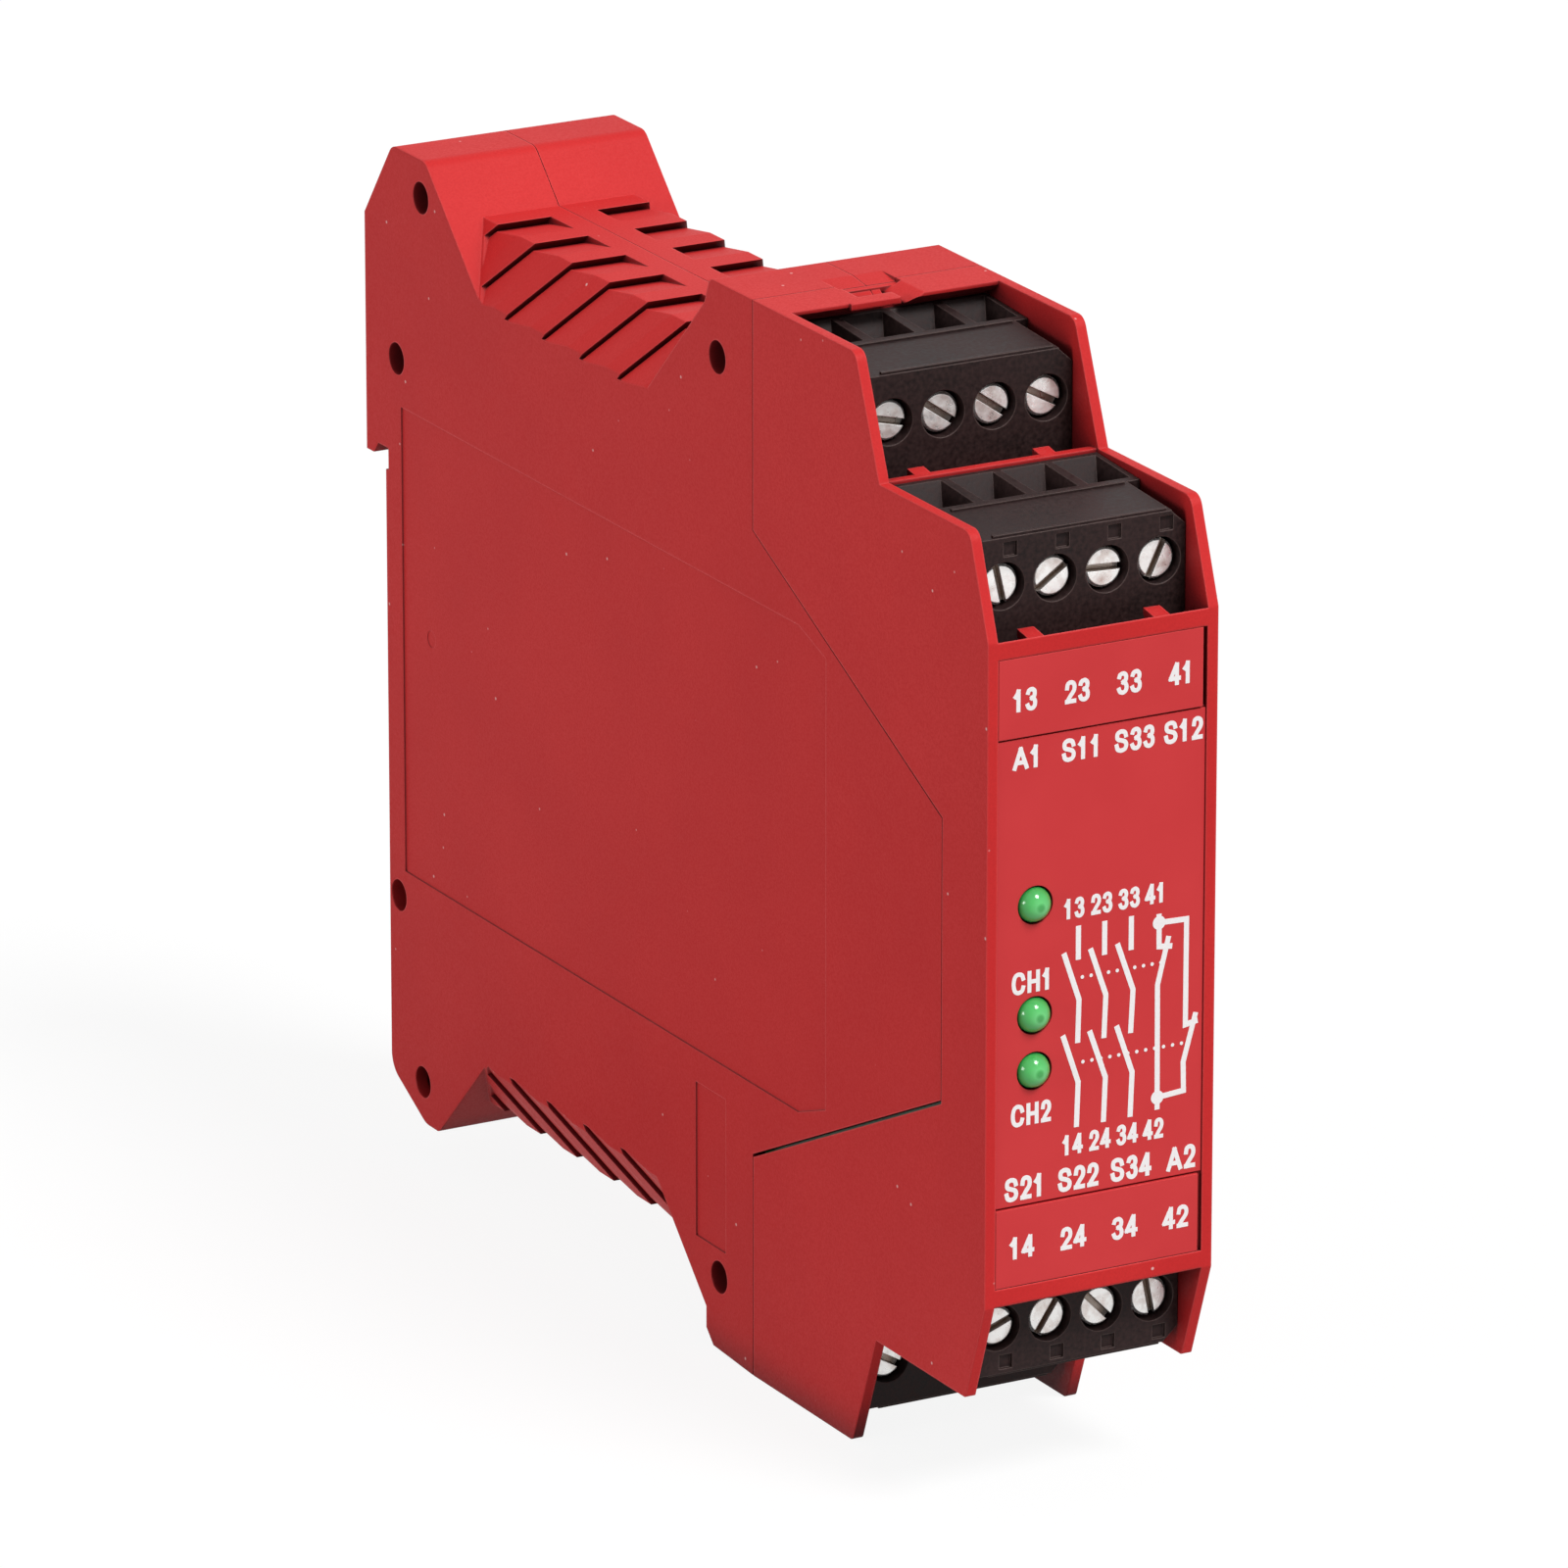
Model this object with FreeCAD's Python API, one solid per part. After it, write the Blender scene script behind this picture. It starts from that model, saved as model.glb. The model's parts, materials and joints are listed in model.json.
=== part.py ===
import FreeCAD, Part
import math
import os

# Safety relay in a narrow moulded case for a 35 mm mounting rail.
# Frame: X is the case's width, +Y points to the rail, +Z is up. The origin lies on the
# rail's seat plane, on the middle of the width and of the rail's height.

Vec = FreeCAD.Vector

# ---------------------------------------------------------------- driving dimensions, mm
# Mounting rail
rail_height = 35.0
rail_flange = 1.0

# Terminal poles: four wire clamps side by side in each block
pole_count = 4
pole_pitch = 5.08
block_depth = 15.0
block_front_height = 9.6
block_top_rise = 0.95
block_side_gap = 0.1
block_seat_gap = 0.03
block_end_bevel = 1.3
pocket_side = 1.3
pocket_depth = 0.3
pocket_offset = 0.7
pocket_rise = 3.2
screw_height = 5.35
well_radius = 2.1
head_radius = 1.8
head_length = 1.7
head_recess = 0.6
driver_slot_width = 0.62
driver_slot_depth = 0.75
shank_radius = 1.25
shank_fit = 0.05
shank_sides = 8
collar_thickness = 1.0
cage_width = 4.0
cage_height = 5.0
cage_sheet = 0.55
cage_nut = 1.4
cage_fit = 0.1
cage_slack = 0.25
wire_gap = 3.2
bar_width = 2.4
bar_thickness = 0.8
bar_fit = 0.06
tail_width = 1.0
tail_step = 1.8
tail_margin = 1.4
funnel_length = 6.5
funnel_side = 0.34
funnel_front = 8.1
funnel_throat = 2.9

# Front cap
cap_side_wall = 0.99
cap_plate = 1.2
cap_roof = 0.9
cap_roof_edge = 0.35
cap_roof_reach = 2.2
cap_shelf = 1.0
riser_thickness = 0.9
face_height = 59.6
block_sink = 1.8
rear_block_sink = 1.5
rim_rise = 0.3
roof_clearance = 0.7
block_back_gap = 0.06
rear_driver_gap = 3.3
front_driver_gap = 2.64
shoulder_run = 4.25
shoulder_lip = 0.15
chin_run = 3.2
cap_corner = 1.3
cap_back_wall = 1.0
cap_back_offset = 1.94
lug_width = 1.6
lug_reach = 2.0
lug_rise = 0.25
lug_positions = (-6.5, 5.8)
rim_bevel = 0.5

# Front face: label film, marker strips and indicator holes
label_inset = 1.05
label_recess = 0.35
label_margin = 1.6
label_film = 0.2
strip_height = 7.1
strip_gap = 0.2
strip_clearance = 0.05
strip_end_gap = 0.35
strip_end_depth = 0.9
led_x = -6.4
led_heights = (5.9, -4.0, -9.0)
led_radius = 1.6
led_flange_radius = 1.85
led_flange = 1.0
led_stand_out = 0.9
led_fit = 0.12
led_length = 5.6
lead_side = 0.5
lead_spread = 1.27
lead_run = 2.2

# Base shells
base_depth = 69.6
base_wall = 1.25
rear_wall = 1.5
half_seam = 0.03
case_seam = 0.1
peak_drop = 2.7
shoulder_drop = 10.3
peak_run = 5.6
peak_round = 1.6
edge_round = 1.0
waist_drop = 13.0
crest_drop = 7.2
valley_rear = 18.6
hump_land = 7.7
hump_lip_run = 0.9
hump_lip_drop = 2.4
hump_round = 2.0
crest_inset = 3.55
spine_width = 4.7
waist_wall = 2.3
hook_reach = 3.8
hook_lip = 1.4
hook_overlap = 0.8
hook_clearance = 0.3
hook_relief = 0.5
hook_lead = 0.9
seat_top = 15.7
seat_bottom = 42.1
foot_drop = 3.8
foot_run = 6.8
chin_shift = 1.3
knuckle_drop = 3.7
knuckle_bevel = 1.3
knuckle_rise = 0.4

# Louvres in the waist
louvre_pitch = 7.1
louvre_margin = 5.0
louvre_slot = 0.45
louvre_scoop = 0.7
louvre_scoop_length = 4.4
louvre_ledge = 0.55

# Side tongue that carries the base's wall into the cap
tongue_length = 33.4
tongue_root = 28.7
tongue_tip = 12.2
tongue_gap = 0.1
tongue_slot = 0.3

# Latch of the cap on the base
catch_window_left = -2.9
catch_window_right = 2.9
catch_strip = 0.6
catch_window_length = 3.0
catch_bar_left = -4.5
catch_bar_right = 0.4
catch_bar_reach = 0.3
catch_bar_thickness = 0.6
catch_ramp_left = -3.2
catch_ramp_back = 2.4
catch_ramp_drop = 0.4
catch_wedge = 1.7
catch_nose = 0.5
catch_nose_length = 0.75
catch_arm = 1.1
catch_gap = 0.15

# Joining pins of the two shells
pin_hole_radius = 1.5
pin_fit = 0.08
pin_boss = 0.9
pin_recess = 4.0
blind_hole_depth = 3.5
blind_hole_drop = 7.4
blind_hole_margin = 0.3

# Marks on the side
panel_rear = 3.1
panel_length = 79.6
panel_top = 22.4
panel_bottom = 22.2
panel_corner = 4.9
panel_corner_drop = 1.7
panel_depth = 0.15
tablet_width = 5.5
tablet_height = 14.5
tablet_offset = 5.0
tablet_top = 25.2
dimple_radius = 0.8
dimple_depth = 0.2
dimple_rear = 8.5
dimple_height = 1.7

# Foot latch and its spring
latch_half = 3.8
latch_thickness = 2.4
latch_fit = 0.1
latch_travel = 4.0
latch_hook_top = 1.3
latch_hook_depth = 2.4
latch_hook_gap = 0.12
latch_neck = 4.4
duct_wall = 1.1
duct_top = 15.0
pull_slot_width = 4.0
pull_slot_height = 1.0
pull_slot_rise = 2.6
spring_radius = 0.95
spring_wire = 0.45
spring_length = 11.0
spring_turns = 6
spring_sides = 8
spring_room = 0.3
spring_end_fit = 0.05
spring_drop = 2.6
ledge_thickness = 1.5

# Circuit board and what it carries
board_thickness = 1.6
board_fit = 0.05
board_rear = 8.5
board_edge_gap = 0.8
board_waist_gap = 2.0
board_front_gap = 3.0
board_step_gap = 0.5
relay_rear = 10.0
relay_length = 53.3
relay_height = 25.4
relay_gap = 2.0
relay_bevel = 0.6
part_headroom = 2.6
relay_pin_rows = 2
relay_pin_size = 0.8
relay_pin_inset = 3.0
hole_fit = 0.1
capacitor_radius = 5.0
capacitor_height = 12.0
capacitor_rise = 14.0
part_gap = 2.0
choke_length = 9.0
choke_height = 6.0
choke_base = 1.2
choke_inset = 0.6
chip_length = 9.9
chip_width = 6.0
chip_height = 1.6
chip_rise = 2.0
chip_drop = 6.5
fuse_radius = 3.6
fuse_thickness = 2.0
fuse_drop = 16.0

# ---------------------------------------------------------------- derived places
case_width = pole_count * pole_pitch + 2 * (block_side_gap + cap_side_wall)
half_width = case_width / 2
block_width = pole_count * pole_pitch
pole_places = [(i - (pole_count - 1) / 2) * pole_pitch for i in range(pole_count)]

# Depth, counted from the rail's seat plane towards the front
seam_y = -base_depth
cap_back_y = seam_y - cap_back_offset
rear_block_back = cap_back_y - cap_back_wall - block_back_gap
rear_block_face = rear_block_back - block_depth
riser_back = rear_block_face - rear_driver_gap
riser_face = riser_back - riser_thickness
front_block_back = riser_face - block_back_gap
front_block_face = front_block_back - block_depth
plate_back = front_block_face - front_driver_gap
plate_face = plate_back - cap_plate

# Height, counted from the rail's centre; the lower half mirrors the upper one
face_top = face_height / 2
front_seat = face_top - block_sink
block_rear_height = block_front_height + block_top_rise
step_z = front_seat + block_rear_height + rim_rise
rear_seat = step_z - rear_block_sink
roof_z = rear_seat + block_rear_height + roof_clearance + cap_roof
waist_z = roof_z - waist_drop
crest_z = roof_z - crest_drop
peak_z = roof_z - peak_drop
foot_z = -(roof_z - foot_drop)
peak_front = -valley_rear + (peak_z - waist_z)
hump_top_y = seam_y + hump_land
hump_lip_y = hump_top_y + hump_lip_run
hump_lip_z = roof_z - hump_lip_drop
valley_front = hump_lip_y + (hump_lip_z - waist_z)
crest_x = half_width - crest_inset
past_front = plate_face - 10
past_back = hook_reach + 10

# Clamp parts, counted from a block's face (depth) and seat (height)
head_front = head_recess
head_back = head_front + head_length
collar_front = head_back + shank_fit
cavity_front = collar_front + collar_thickness
bar_back = funnel_front + (funnel_length - wire_gap) / 2
bar_front = bar_back - bar_thickness
shank_end = bar_front - shank_fit
cage_inner_front = bar_front - cage_slack
cage_inner_back = bar_back + wire_gap
cage_front = cage_inner_front - cage_nut
cage_back = cage_inner_back + cage_sheet
cage_low = screw_height - cage_height / 2
cage_high = screw_height + cage_height / 2

# Circuit board, counted from the left wall's inner face
board_left = -(half_width - base_wall) + board_fit
board_face = board_left + board_thickness
board_top = waist_z - rear_wall - board_waist_gap
board_nose_top = front_seat - cap_shelf - board_edge_gap
part_room = (half_width - base_wall) - board_face - part_headroom


# ---------------------------------------------------------------- helpers
def box(x0, x1, y0, y1, z0, z1):
    low = Vec(min(x0, x1), min(y0, y1), min(z0, z1))
    return Part.makeBox(abs(x1 - x0), abs(y1 - y0), abs(z1 - z0), low)


def rod(radius, start, end):
    """A round bar between two points."""
    axis = end - start
    return Part.makeCylinder(radius, axis.Length, start, axis)


def flatted_rod(radius, start, end):
    """A bar along Y with flats in place of a thread; the radius reaches its corners."""
    corners = []
    for i in range(shank_sides):
        angle = 2 * math.pi * (i + 0.5) / shank_sides
        corners.append((start.x + radius * math.cos(angle), start.z + radius * math.sin(angle)))
    return front_prism(corners, start.y, end.y)


def shank_hole(start, end):
    """A hole that a turning shank clears by its fit."""
    radius = (shank_radius + shank_fit) / math.cos(math.pi / shank_sides)
    return flatted_rod(radius, start, end)


def rounded_wire(corners, place):
    """A closed wire through (a, b) or (a, b, radius) corners; place(a, b) gives the point."""
    points = [place(c[0], c[1]) for c in corners]
    count = len(points)
    arrivals = []
    departures = []
    edges = []
    for i, corner in enumerate(corners):
        here = points[i]
        back = (points[i - 1] - here).normalize()
        ahead = (points[(i + 1) % count] - here).normalize()
        radius = corner[2] if len(corner) > 2 else 0
        half = back.getAngle(ahead) / 2
        reach = radius / math.tan(half)
        arrivals.append(here + back * reach)
        departures.append(here + ahead * reach)
        if radius:
            bisector = (back + ahead).normalize()
            middle = here + bisector * (radius / math.sin(half) - radius)
            edges.append(Part.Arc(arrivals[i], middle, departures[i]).toShape())
    for i in range(count):
        start = departures[i]
        end = arrivals[(i + 1) % count]
        if (end - start).Length > 1e-6:
            edges.append(Part.LineSegment(start, end).toShape())
    return Part.Wire(Part.__sortEdges__(edges))


def side_face(corners, x):
    """A face in the plane of the case's side, from (y, z) corners."""
    return Part.Face(rounded_wire(corners, lambda y, z: Vec(x, y, z)))


def side_prism(corners, x0, x1):
    return side_face(corners, x0).extrude(Vec(x1 - x0, 0, 0))


def front_prism(corners, y0, y1):
    """A prism along Y from (x, z) corners."""
    face = Part.Face(rounded_wire(corners, lambda x, z: Vec(x, y0, z)))
    return face.extrude(Vec(0, y1 - y0, 0))


def flip(shape):
    """The same form in the lower half of the case."""
    return shape.mirror(Vec(0, 0, 0), Vec(0, 0, 1))


def swap_sides(shape):
    return shape.mirror(Vec(0, 0, 0), Vec(1, 0, 0))


def both_halves(shapes):
    return list(shapes) + [flip(s) for s in shapes]


def only_solid(shape):
    return shape.removeSplitter().Solids[0]


def export(node, shape):
    shape.exportStep("parts/" + node + ".step")


# ---------------------------------------------------------------- base shells
def rear_outline():
    """Side outline of the base behind the seam, with the waist filled up to its crest."""
    slot_top = rail_height / 2 + hook_clearance
    hook_tip = rail_height / 2 - hook_overlap
    foot_front = -valley_rear - foot_z - waist_z
    low_hump = valley_front - chin_shift
    knuckle_z = -roof_z + knuckle_drop
    knuckle_y = low_hump - (-waist_z - knuckle_z)
    return [
        (hook_reach, hook_tip),
        (hook_reach, roof_z - shoulder_drop),
        (hook_reach - peak_run, peak_z, peak_round),
        (peak_front, peak_z, peak_round),
        (peak_front - (peak_z - crest_z), crest_z),
        (valley_front - (crest_z - waist_z), crest_z, hump_round),
        (hump_lip_y, hump_lip_z, hump_round),
        (hump_top_y, roof_z, edge_round),
        (seam_y, roof_z),
        (seam_y, -roof_z),
        (knuckle_y - knuckle_bevel, -roof_z + knuckle_rise),
        (knuckle_y, -roof_z + knuckle_rise + knuckle_bevel),
        (knuckle_y, knuckle_z),
        (low_hump - (crest_z - waist_z), -crest_z),
        (foot_front - (-foot_z - crest_z), -crest_z),
        (foot_front, foot_z, 0.8),
        (-foot_run, foot_z, 2.5),
        (0, -seat_bottom, 2.5),
        (0, seat_top),
        (-hook_relief, seat_top),
        (-hook_relief, slot_top),
        (hook_reach - hook_lip - hook_lead, slot_top),
        (hook_reach - hook_lip, hook_tip),
    ]


def waist_wedge(margin, front_shift):
    """The space outside the waist's left chamfer, between the peak and the hump."""
    drop = crest_z - waist_z
    rear = -valley_rear + margin
    front = valley_front - front_shift - margin
    top = crest_z + 1
    valley = [
        (rear, waist_z - margin),
        (rear + (top - waist_z + margin), top),
        (front - (top - waist_z + margin), top),
        (front, waist_z - margin),
    ]
    reach = half_width + 1
    slope = drop / crest_inset
    inner_x = crest_x - margin * math.hypot(1, slope) / slope
    wedge = front_prism(
        [
            (-inner_x + 1 / slope, crest_z + 1),
            (-reach, crest_z - slope * (reach - inner_x)),
            (-reach, crest_z + 1),
        ],
        past_back, past_front)
    return wedge.common(side_prism(valley, -reach, 0))


def louvre_tool(crest_y):
    """One louvre of the upper left waist: a thin slot under a lip and the scoop before it."""
    through = waist_wall + 2.2
    rise = 1.0

    def at(y, z):
        return Vec(-crest_x, crest_y + y, crest_z + z)

    section = Part.Face(Part.makePolygon([
        at(-rise, rise),
        at(through, -through),
        at(through, -through - louvre_slot),
        at(louvre_scoop - louvre_slot, -louvre_scoop),
        at(-louvre_scoop_length, 0),
        at(-louvre_scoop_length, rise),
        at(-rise, rise),
    ]))
    flat = section.extrude(Vec(crest_x - spine_width / 2, 0, 0))
    drop = (crest_z - waist_z) * 1.25
    run = crest_inset * 1.25
    slanted = section.extrude(Vec(-run, drop, -drop))
    tool = flat.fuse(slanted)
    ledge_z = waist_z - louvre_ledge
    below = box(-half_width - 5, 1, 5, seam_y, ledge_z, ledge_z - 30)
    rear_limit = side_prism(
        [
            (-valley_rear - 0.4 - 6, waist_z - 6),
            (-valley_rear - 0.4 + 12, waist_z + 12),
            (20, waist_z + 12),
            (20, waist_z - 6),
        ],
        -half_width - 5, 1)
    front_limit = side_prism(
        [
            (valley_front + 0.2 + 6, waist_z - 6),
            (valley_front + 0.2 - 14, waist_z + 14),
            (seam_y - 10, waist_z + 14),
            (seam_y - 10, waist_z - 6),
        ],
        -half_width - 5, 1)
    return tool.cut([below, rear_limit, front_limit])


def louvre_places():
    places = []
    crest_y = valley_front - (crest_z - waist_z) + louvre_margin
    rear_end = peak_front - (peak_z - crest_z)
    while crest_y < rear_end - 2:
        places.append(crest_y)
        crest_y += louvre_pitch
    return places


def tongue_outline(upper_gap, lower_gap, tip_gap):
    """Side outline of the tongue, from the seam forward; gaps enlarge it for the cap's cut."""
    tip_y = seam_y - tongue_length
    return [
        (seam_y + 3, tongue_root + upper_gap),
        (seam_y, tongue_root + upper_gap),
        (tip_y - tip_gap, tongue_tip + upper_gap),
        (tip_y - tip_gap, -tongue_tip - 1 - lower_gap),
        (seam_y, -tongue_root - lower_gap),
        (seam_y + 3, -tongue_root - lower_gap),
    ]


def pin_places():
    """Joining pins that cross the whole width, as (y, z)."""
    return [
        (-7.4, peak_z - 3.6),
        (hook_reach - 6.1, rail_height / 2 + 9.3),
        (seam_y + 6.3, roof_z - 6.8),
        (-6.3, foot_z + 3.9),
        (seam_y + 6.2, -roof_z + 7.2),
    ]


def latch_room():
    """The foot latch's sliding space in the base, open at the foot and at the hook window."""
    front = -rear_wall - latch_thickness - 2 * latch_fit
    half = latch_half + latch_fit
    room = box(-half, half, -rear_wall, front, -duct_top, foot_z - 5)
    hook_high = -rail_height / 2 - latch_hook_gap
    window = box(-half, half, 1, front, hook_high, hook_high - latch_neck - latch_travel - latch_fit)
    return room.fuse(window)


def catch_nose_solid():
    """The base's nose that snaps into the cap's roof window."""
    root = roof_z - cap_roof - catch_gap
    tip = seam_y - catch_strip - catch_gap
    profile = [
        (seam_y + 2, root),
        (tip, root),
        (tip, root + catch_nose),
        (tip - catch_nose_length, root),
        (tip - catch_nose_length, root - catch_arm),
        (seam_y + 2, root - catch_arm),
    ]
    return side_prism(profile, catch_window_left + 0.3, catch_window_right - catch_wedge - 0.3)


def catch_ramp():
    """The shallow ramp that leads from the roof down into the catch window."""
    run = catch_ramp_back + catch_strip
    back = seam_y + catch_ramp_back
    profile = [
        (back, roof_z),
        (back - run - 0.3, roof_z - catch_ramp_drop * (run + 0.3) / run),
        (back - run - 0.3, roof_z + 1),
        (back, roof_z + 1),
    ]
    return side_prism(profile, catch_ramp_left, catch_window_right)


def base_body():
    """Both shells as one hollow body, before it is split at the middle."""
    outline = rear_outline()
    body = side_prism(outline, -half_width, half_width)
    body = body.fuse(side_prism(tongue_outline(0, 0, 0), -half_width, half_width))
    open_outline = [c for c in outline]
    seam_at = open_outline.index((seam_y, roof_z))
    open_outline[seam_at] = (past_front, roof_z)
    open_outline[seam_at + 1] = (past_front, -roof_z)
    cavity_face = side_face(open_outline, -half_width + base_wall)
    cavity_face = cavity_face.makeOffset2D(-rear_wall, 2)
    cavity = cavity_face.extrude(Vec(2 * (half_width - base_wall), 0, 0))
    waist_floor = box(-half_width, half_width, 0, hump_top_y, crest_z - waist_wall, roof_z)
    valley_only = side_prism(
        [
            (-valley_rear + rear_wall, waist_z - rear_wall),
            (peak_front + rear_wall * 2, peak_z),
            (hump_top_y, roof_z),
            (valley_front, waist_z - rear_wall),
        ],
        -half_width, half_width)
    waist_skin = waist_floor.common(valley_only)
    upper = [waist_wedge(0, 0), swap_sides(waist_wedge(0, 0))]
    lower = [flip(waist_wedge(0, chin_shift)), flip(swap_sides(waist_wedge(0, chin_shift)))]
    keep_upper = [waist_wedge(waist_wall, 0), swap_sides(waist_wedge(waist_wall, 0)), waist_skin]
    keep_lower = [flip(k) for k in keep_upper]
    cavity = cavity.cut(keep_upper + keep_lower)
    hollow = body.cut(upper + lower + [cavity])
    bosses = []
    for y, z in pin_places():
        reach = pin_hole_radius + pin_boss
        bosses.append(box(-half_width + 0.5, half_width - 0.5,
                          y - reach, y + reach, z - reach, z + reach))
    duct_front = -rear_wall - latch_thickness - 2 * latch_fit - duct_wall
    duct_half = latch_half + latch_fit + duct_wall
    duct = box(-duct_half, duct_half, -0.5, duct_front, -duct_top, foot_z)
    ribs = Part.makeCompound(bosses + [duct]).common(side_prism(outline, -half_width, half_width))
    hollow = hollow.fuse(ribs.Solids)
    hollow = hollow.fuse(both_halves([catch_nose_solid()]))
    tools = [latch_room()]
    for crest_y in louvre_places():
        tool = louvre_tool(crest_y)
        tools += both_halves([tool, swap_sides(tool)])
    tools += both_halves([catch_ramp()])
    hollow = hollow.cut(tools)
    return hollow.fuse(spring_ledge())


def spring_ledge():
    """The fixed ledge that the latch spring stands on, held by the rear wall."""
    high = spring_seat_z()
    half = spring_radius + spring_wire / 2
    front = -rear_wall - latch_thickness - latch_fit
    return box(-half, half, -0.5, front, high, high - ledge_thickness)


def spring_seat_z():
    return -rail_height / 2 - latch_neck - latch_travel - spring_drop - spring_length


def side_marks():
    """Shallow marks in the left side: label panel, date tablet, gate dimple, blind hole."""
    face = -half_width
    deep = face + panel_depth
    panel_front = -panel_rear - panel_length
    panel = side_prism(
        [
            (-panel_rear, panel_top),
            (panel_front + panel_corner, panel_top),
            (panel_front, panel_top - panel_corner_drop),
            (panel_front, -panel_bottom + panel_corner_drop),
            (panel_front + panel_corner, -panel_bottom),
            (-panel_rear, -panel_bottom),
        ],
        face - 1, deep)
    tablet_front = seam_y + tablet_offset
    tablet = box(face - 1, deep, tablet_front, tablet_front + tablet_width,
                 -tablet_top, -tablet_top - tablet_height)
    dimple_at = Vec(face + dimple_depth, -dimple_rear, dimple_height)
    dimple = rod(dimple_radius, dimple_at, dimple_at - Vec(1, 0, 0))
    blind_at = Vec(face + blind_hole_depth, -pin_hole_radius - blind_hole_margin,
                   -rail_height / 2 - blind_hole_drop)
    blind = rod(pin_hole_radius, blind_at, blind_at - Vec(blind_hole_depth + 1, 0, 0))
    return [panel, tablet, dimple, blind]


def make_shells():
    body = base_body()
    left_half = box(-half_width - 5, -half_seam, past_back, past_front, -roof_z - 5, roof_z + 5)
    left = body.common(left_half)
    right = body.common(swap_sides(left_half))
    holes = []
    pins = []
    for y, z in pin_places():
        outside = Vec(-half_width - 1, y, z)
        holes.append(rod(pin_hole_radius, outside, Vec(1, y, z)))
        tip = Vec(-half_width + pin_recess, y, z)
        pins.append(rod(pin_hole_radius - pin_fit, Vec(1, y, z), tip))
    export("base_left_shell", only_solid(left.cut(holes + side_marks())))
    export("base_right_shell", only_solid(right.fuse(pins)))


# ---------------------------------------------------------------- front cap
def cap_side_outline():
    tip_low = 0.6
    return [
        (seam_y - case_seam, roof_z),
        (rear_block_face - shoulder_lip, roof_z, cap_corner),
        (rear_block_face - shoulder_lip - shoulder_run, step_z),
        (plate_face + chin_run, step_z, cap_corner),
        (plate_face, face_top, 0.6),
        (plate_face, -face_top),
        (plate_face + chin_run, -step_z, 0.2),
        (riser_face, -step_z),
        (rear_block_face - shoulder_lip, -roof_z, tip_low),
        (seam_y - case_seam, -roof_z),
    ]


def upper_steps():
    """Roof, shelves, risers and lugs of the cap's upper half."""
    side = half_width - cap_side_wall / 2
    roof_front = cap_back_y - cap_back_wall - cap_roof_reach
    roof_low = roof_z - cap_roof
    roof = side_prism(
        [
            (seam_y - case_seam, roof_z),
            (roof_front, roof_z),
            (roof_front, roof_z - cap_roof_edge),
            (roof_front + cap_roof - cap_roof_edge, roof_low),
            (seam_y - case_seam, roof_low),
        ],
        -side, side)
    shelf_low = front_seat - cap_shelf
    rear_shelf_low = rear_seat - cap_shelf
    solids = [
        roof,
        box(-side, side, cap_back_y, cap_back_y - cap_back_wall, rear_shelf_low, roof_z),
        box(-side, side, cap_back_y, riser_face, rear_shelf_low, rear_seat),
        box(-side, side, riser_back, riser_face, shelf_low, step_z),
        box(-side, side, riser_back, plate_back - 0.1, shelf_low, front_seat),
    ]
    for wall_face, wall_top in ((riser_face, step_z), (plate_face, face_top)):
        profile = [
            (wall_face, wall_top - 0.1),
            (wall_face + lug_reach, wall_top + lug_rise),
            (wall_face + lug_reach, wall_top - 0.35),
            (wall_face + lug_reach - 0.8, wall_top - 1.2),
            (wall_face, wall_top - 1.2),
        ]
        for x in lug_positions:
            solids.append(side_prism(profile, x - lug_width / 2, x + lug_width / 2))
    bar = box(catch_bar_left, catch_bar_right, roof_front + 1, roof_front - catch_bar_reach,
              roof_z - catch_bar_thickness, roof_z)
    return solids + [bar]


def catch_cuts():
    """The roof window for the base's nose, open to the front beside the bar."""
    window_back = seam_y - case_seam - catch_strip
    window_front = window_back - catch_window_length
    low = roof_z - cap_roof
    open_front = cap_back_y - cap_back_wall - cap_roof_reach - 1
    wedge_left = catch_window_right - catch_wedge
    window = box(catch_window_left, wedge_left, window_back, window_front, low - 0.01, roof_z + 1)
    gap = box(catch_bar_right, wedge_left, window_back, open_front, low - 0.01, roof_z + 1)
    wedge = front_prism(
        [
            (wedge_left - 0.01, roof_z + 1),
            (catch_window_right, roof_z + 1),
            (catch_window_right, roof_z),
            (wedge_left - 0.01, low),
        ],
        window_back, open_front)
    return [window, gap, wedge, catch_ramp()]


def tail_slots():
    """Slots in the two shelves of the upper half, where the contact tails pass."""
    slots = []
    for face_y, seat_z in ((rear_block_face, rear_seat), (front_block_face, front_seat)):
        for x in pole_places:
            slots.append(box(x - tail_width / 2 - 0.15, x + tail_width / 2 + 0.15,
                             face_y + bar_front - 0.1, face_y + bar_back + 0.1,
                             seat_z + 1, seat_z - cap_shelf - 1))
    return slots


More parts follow.
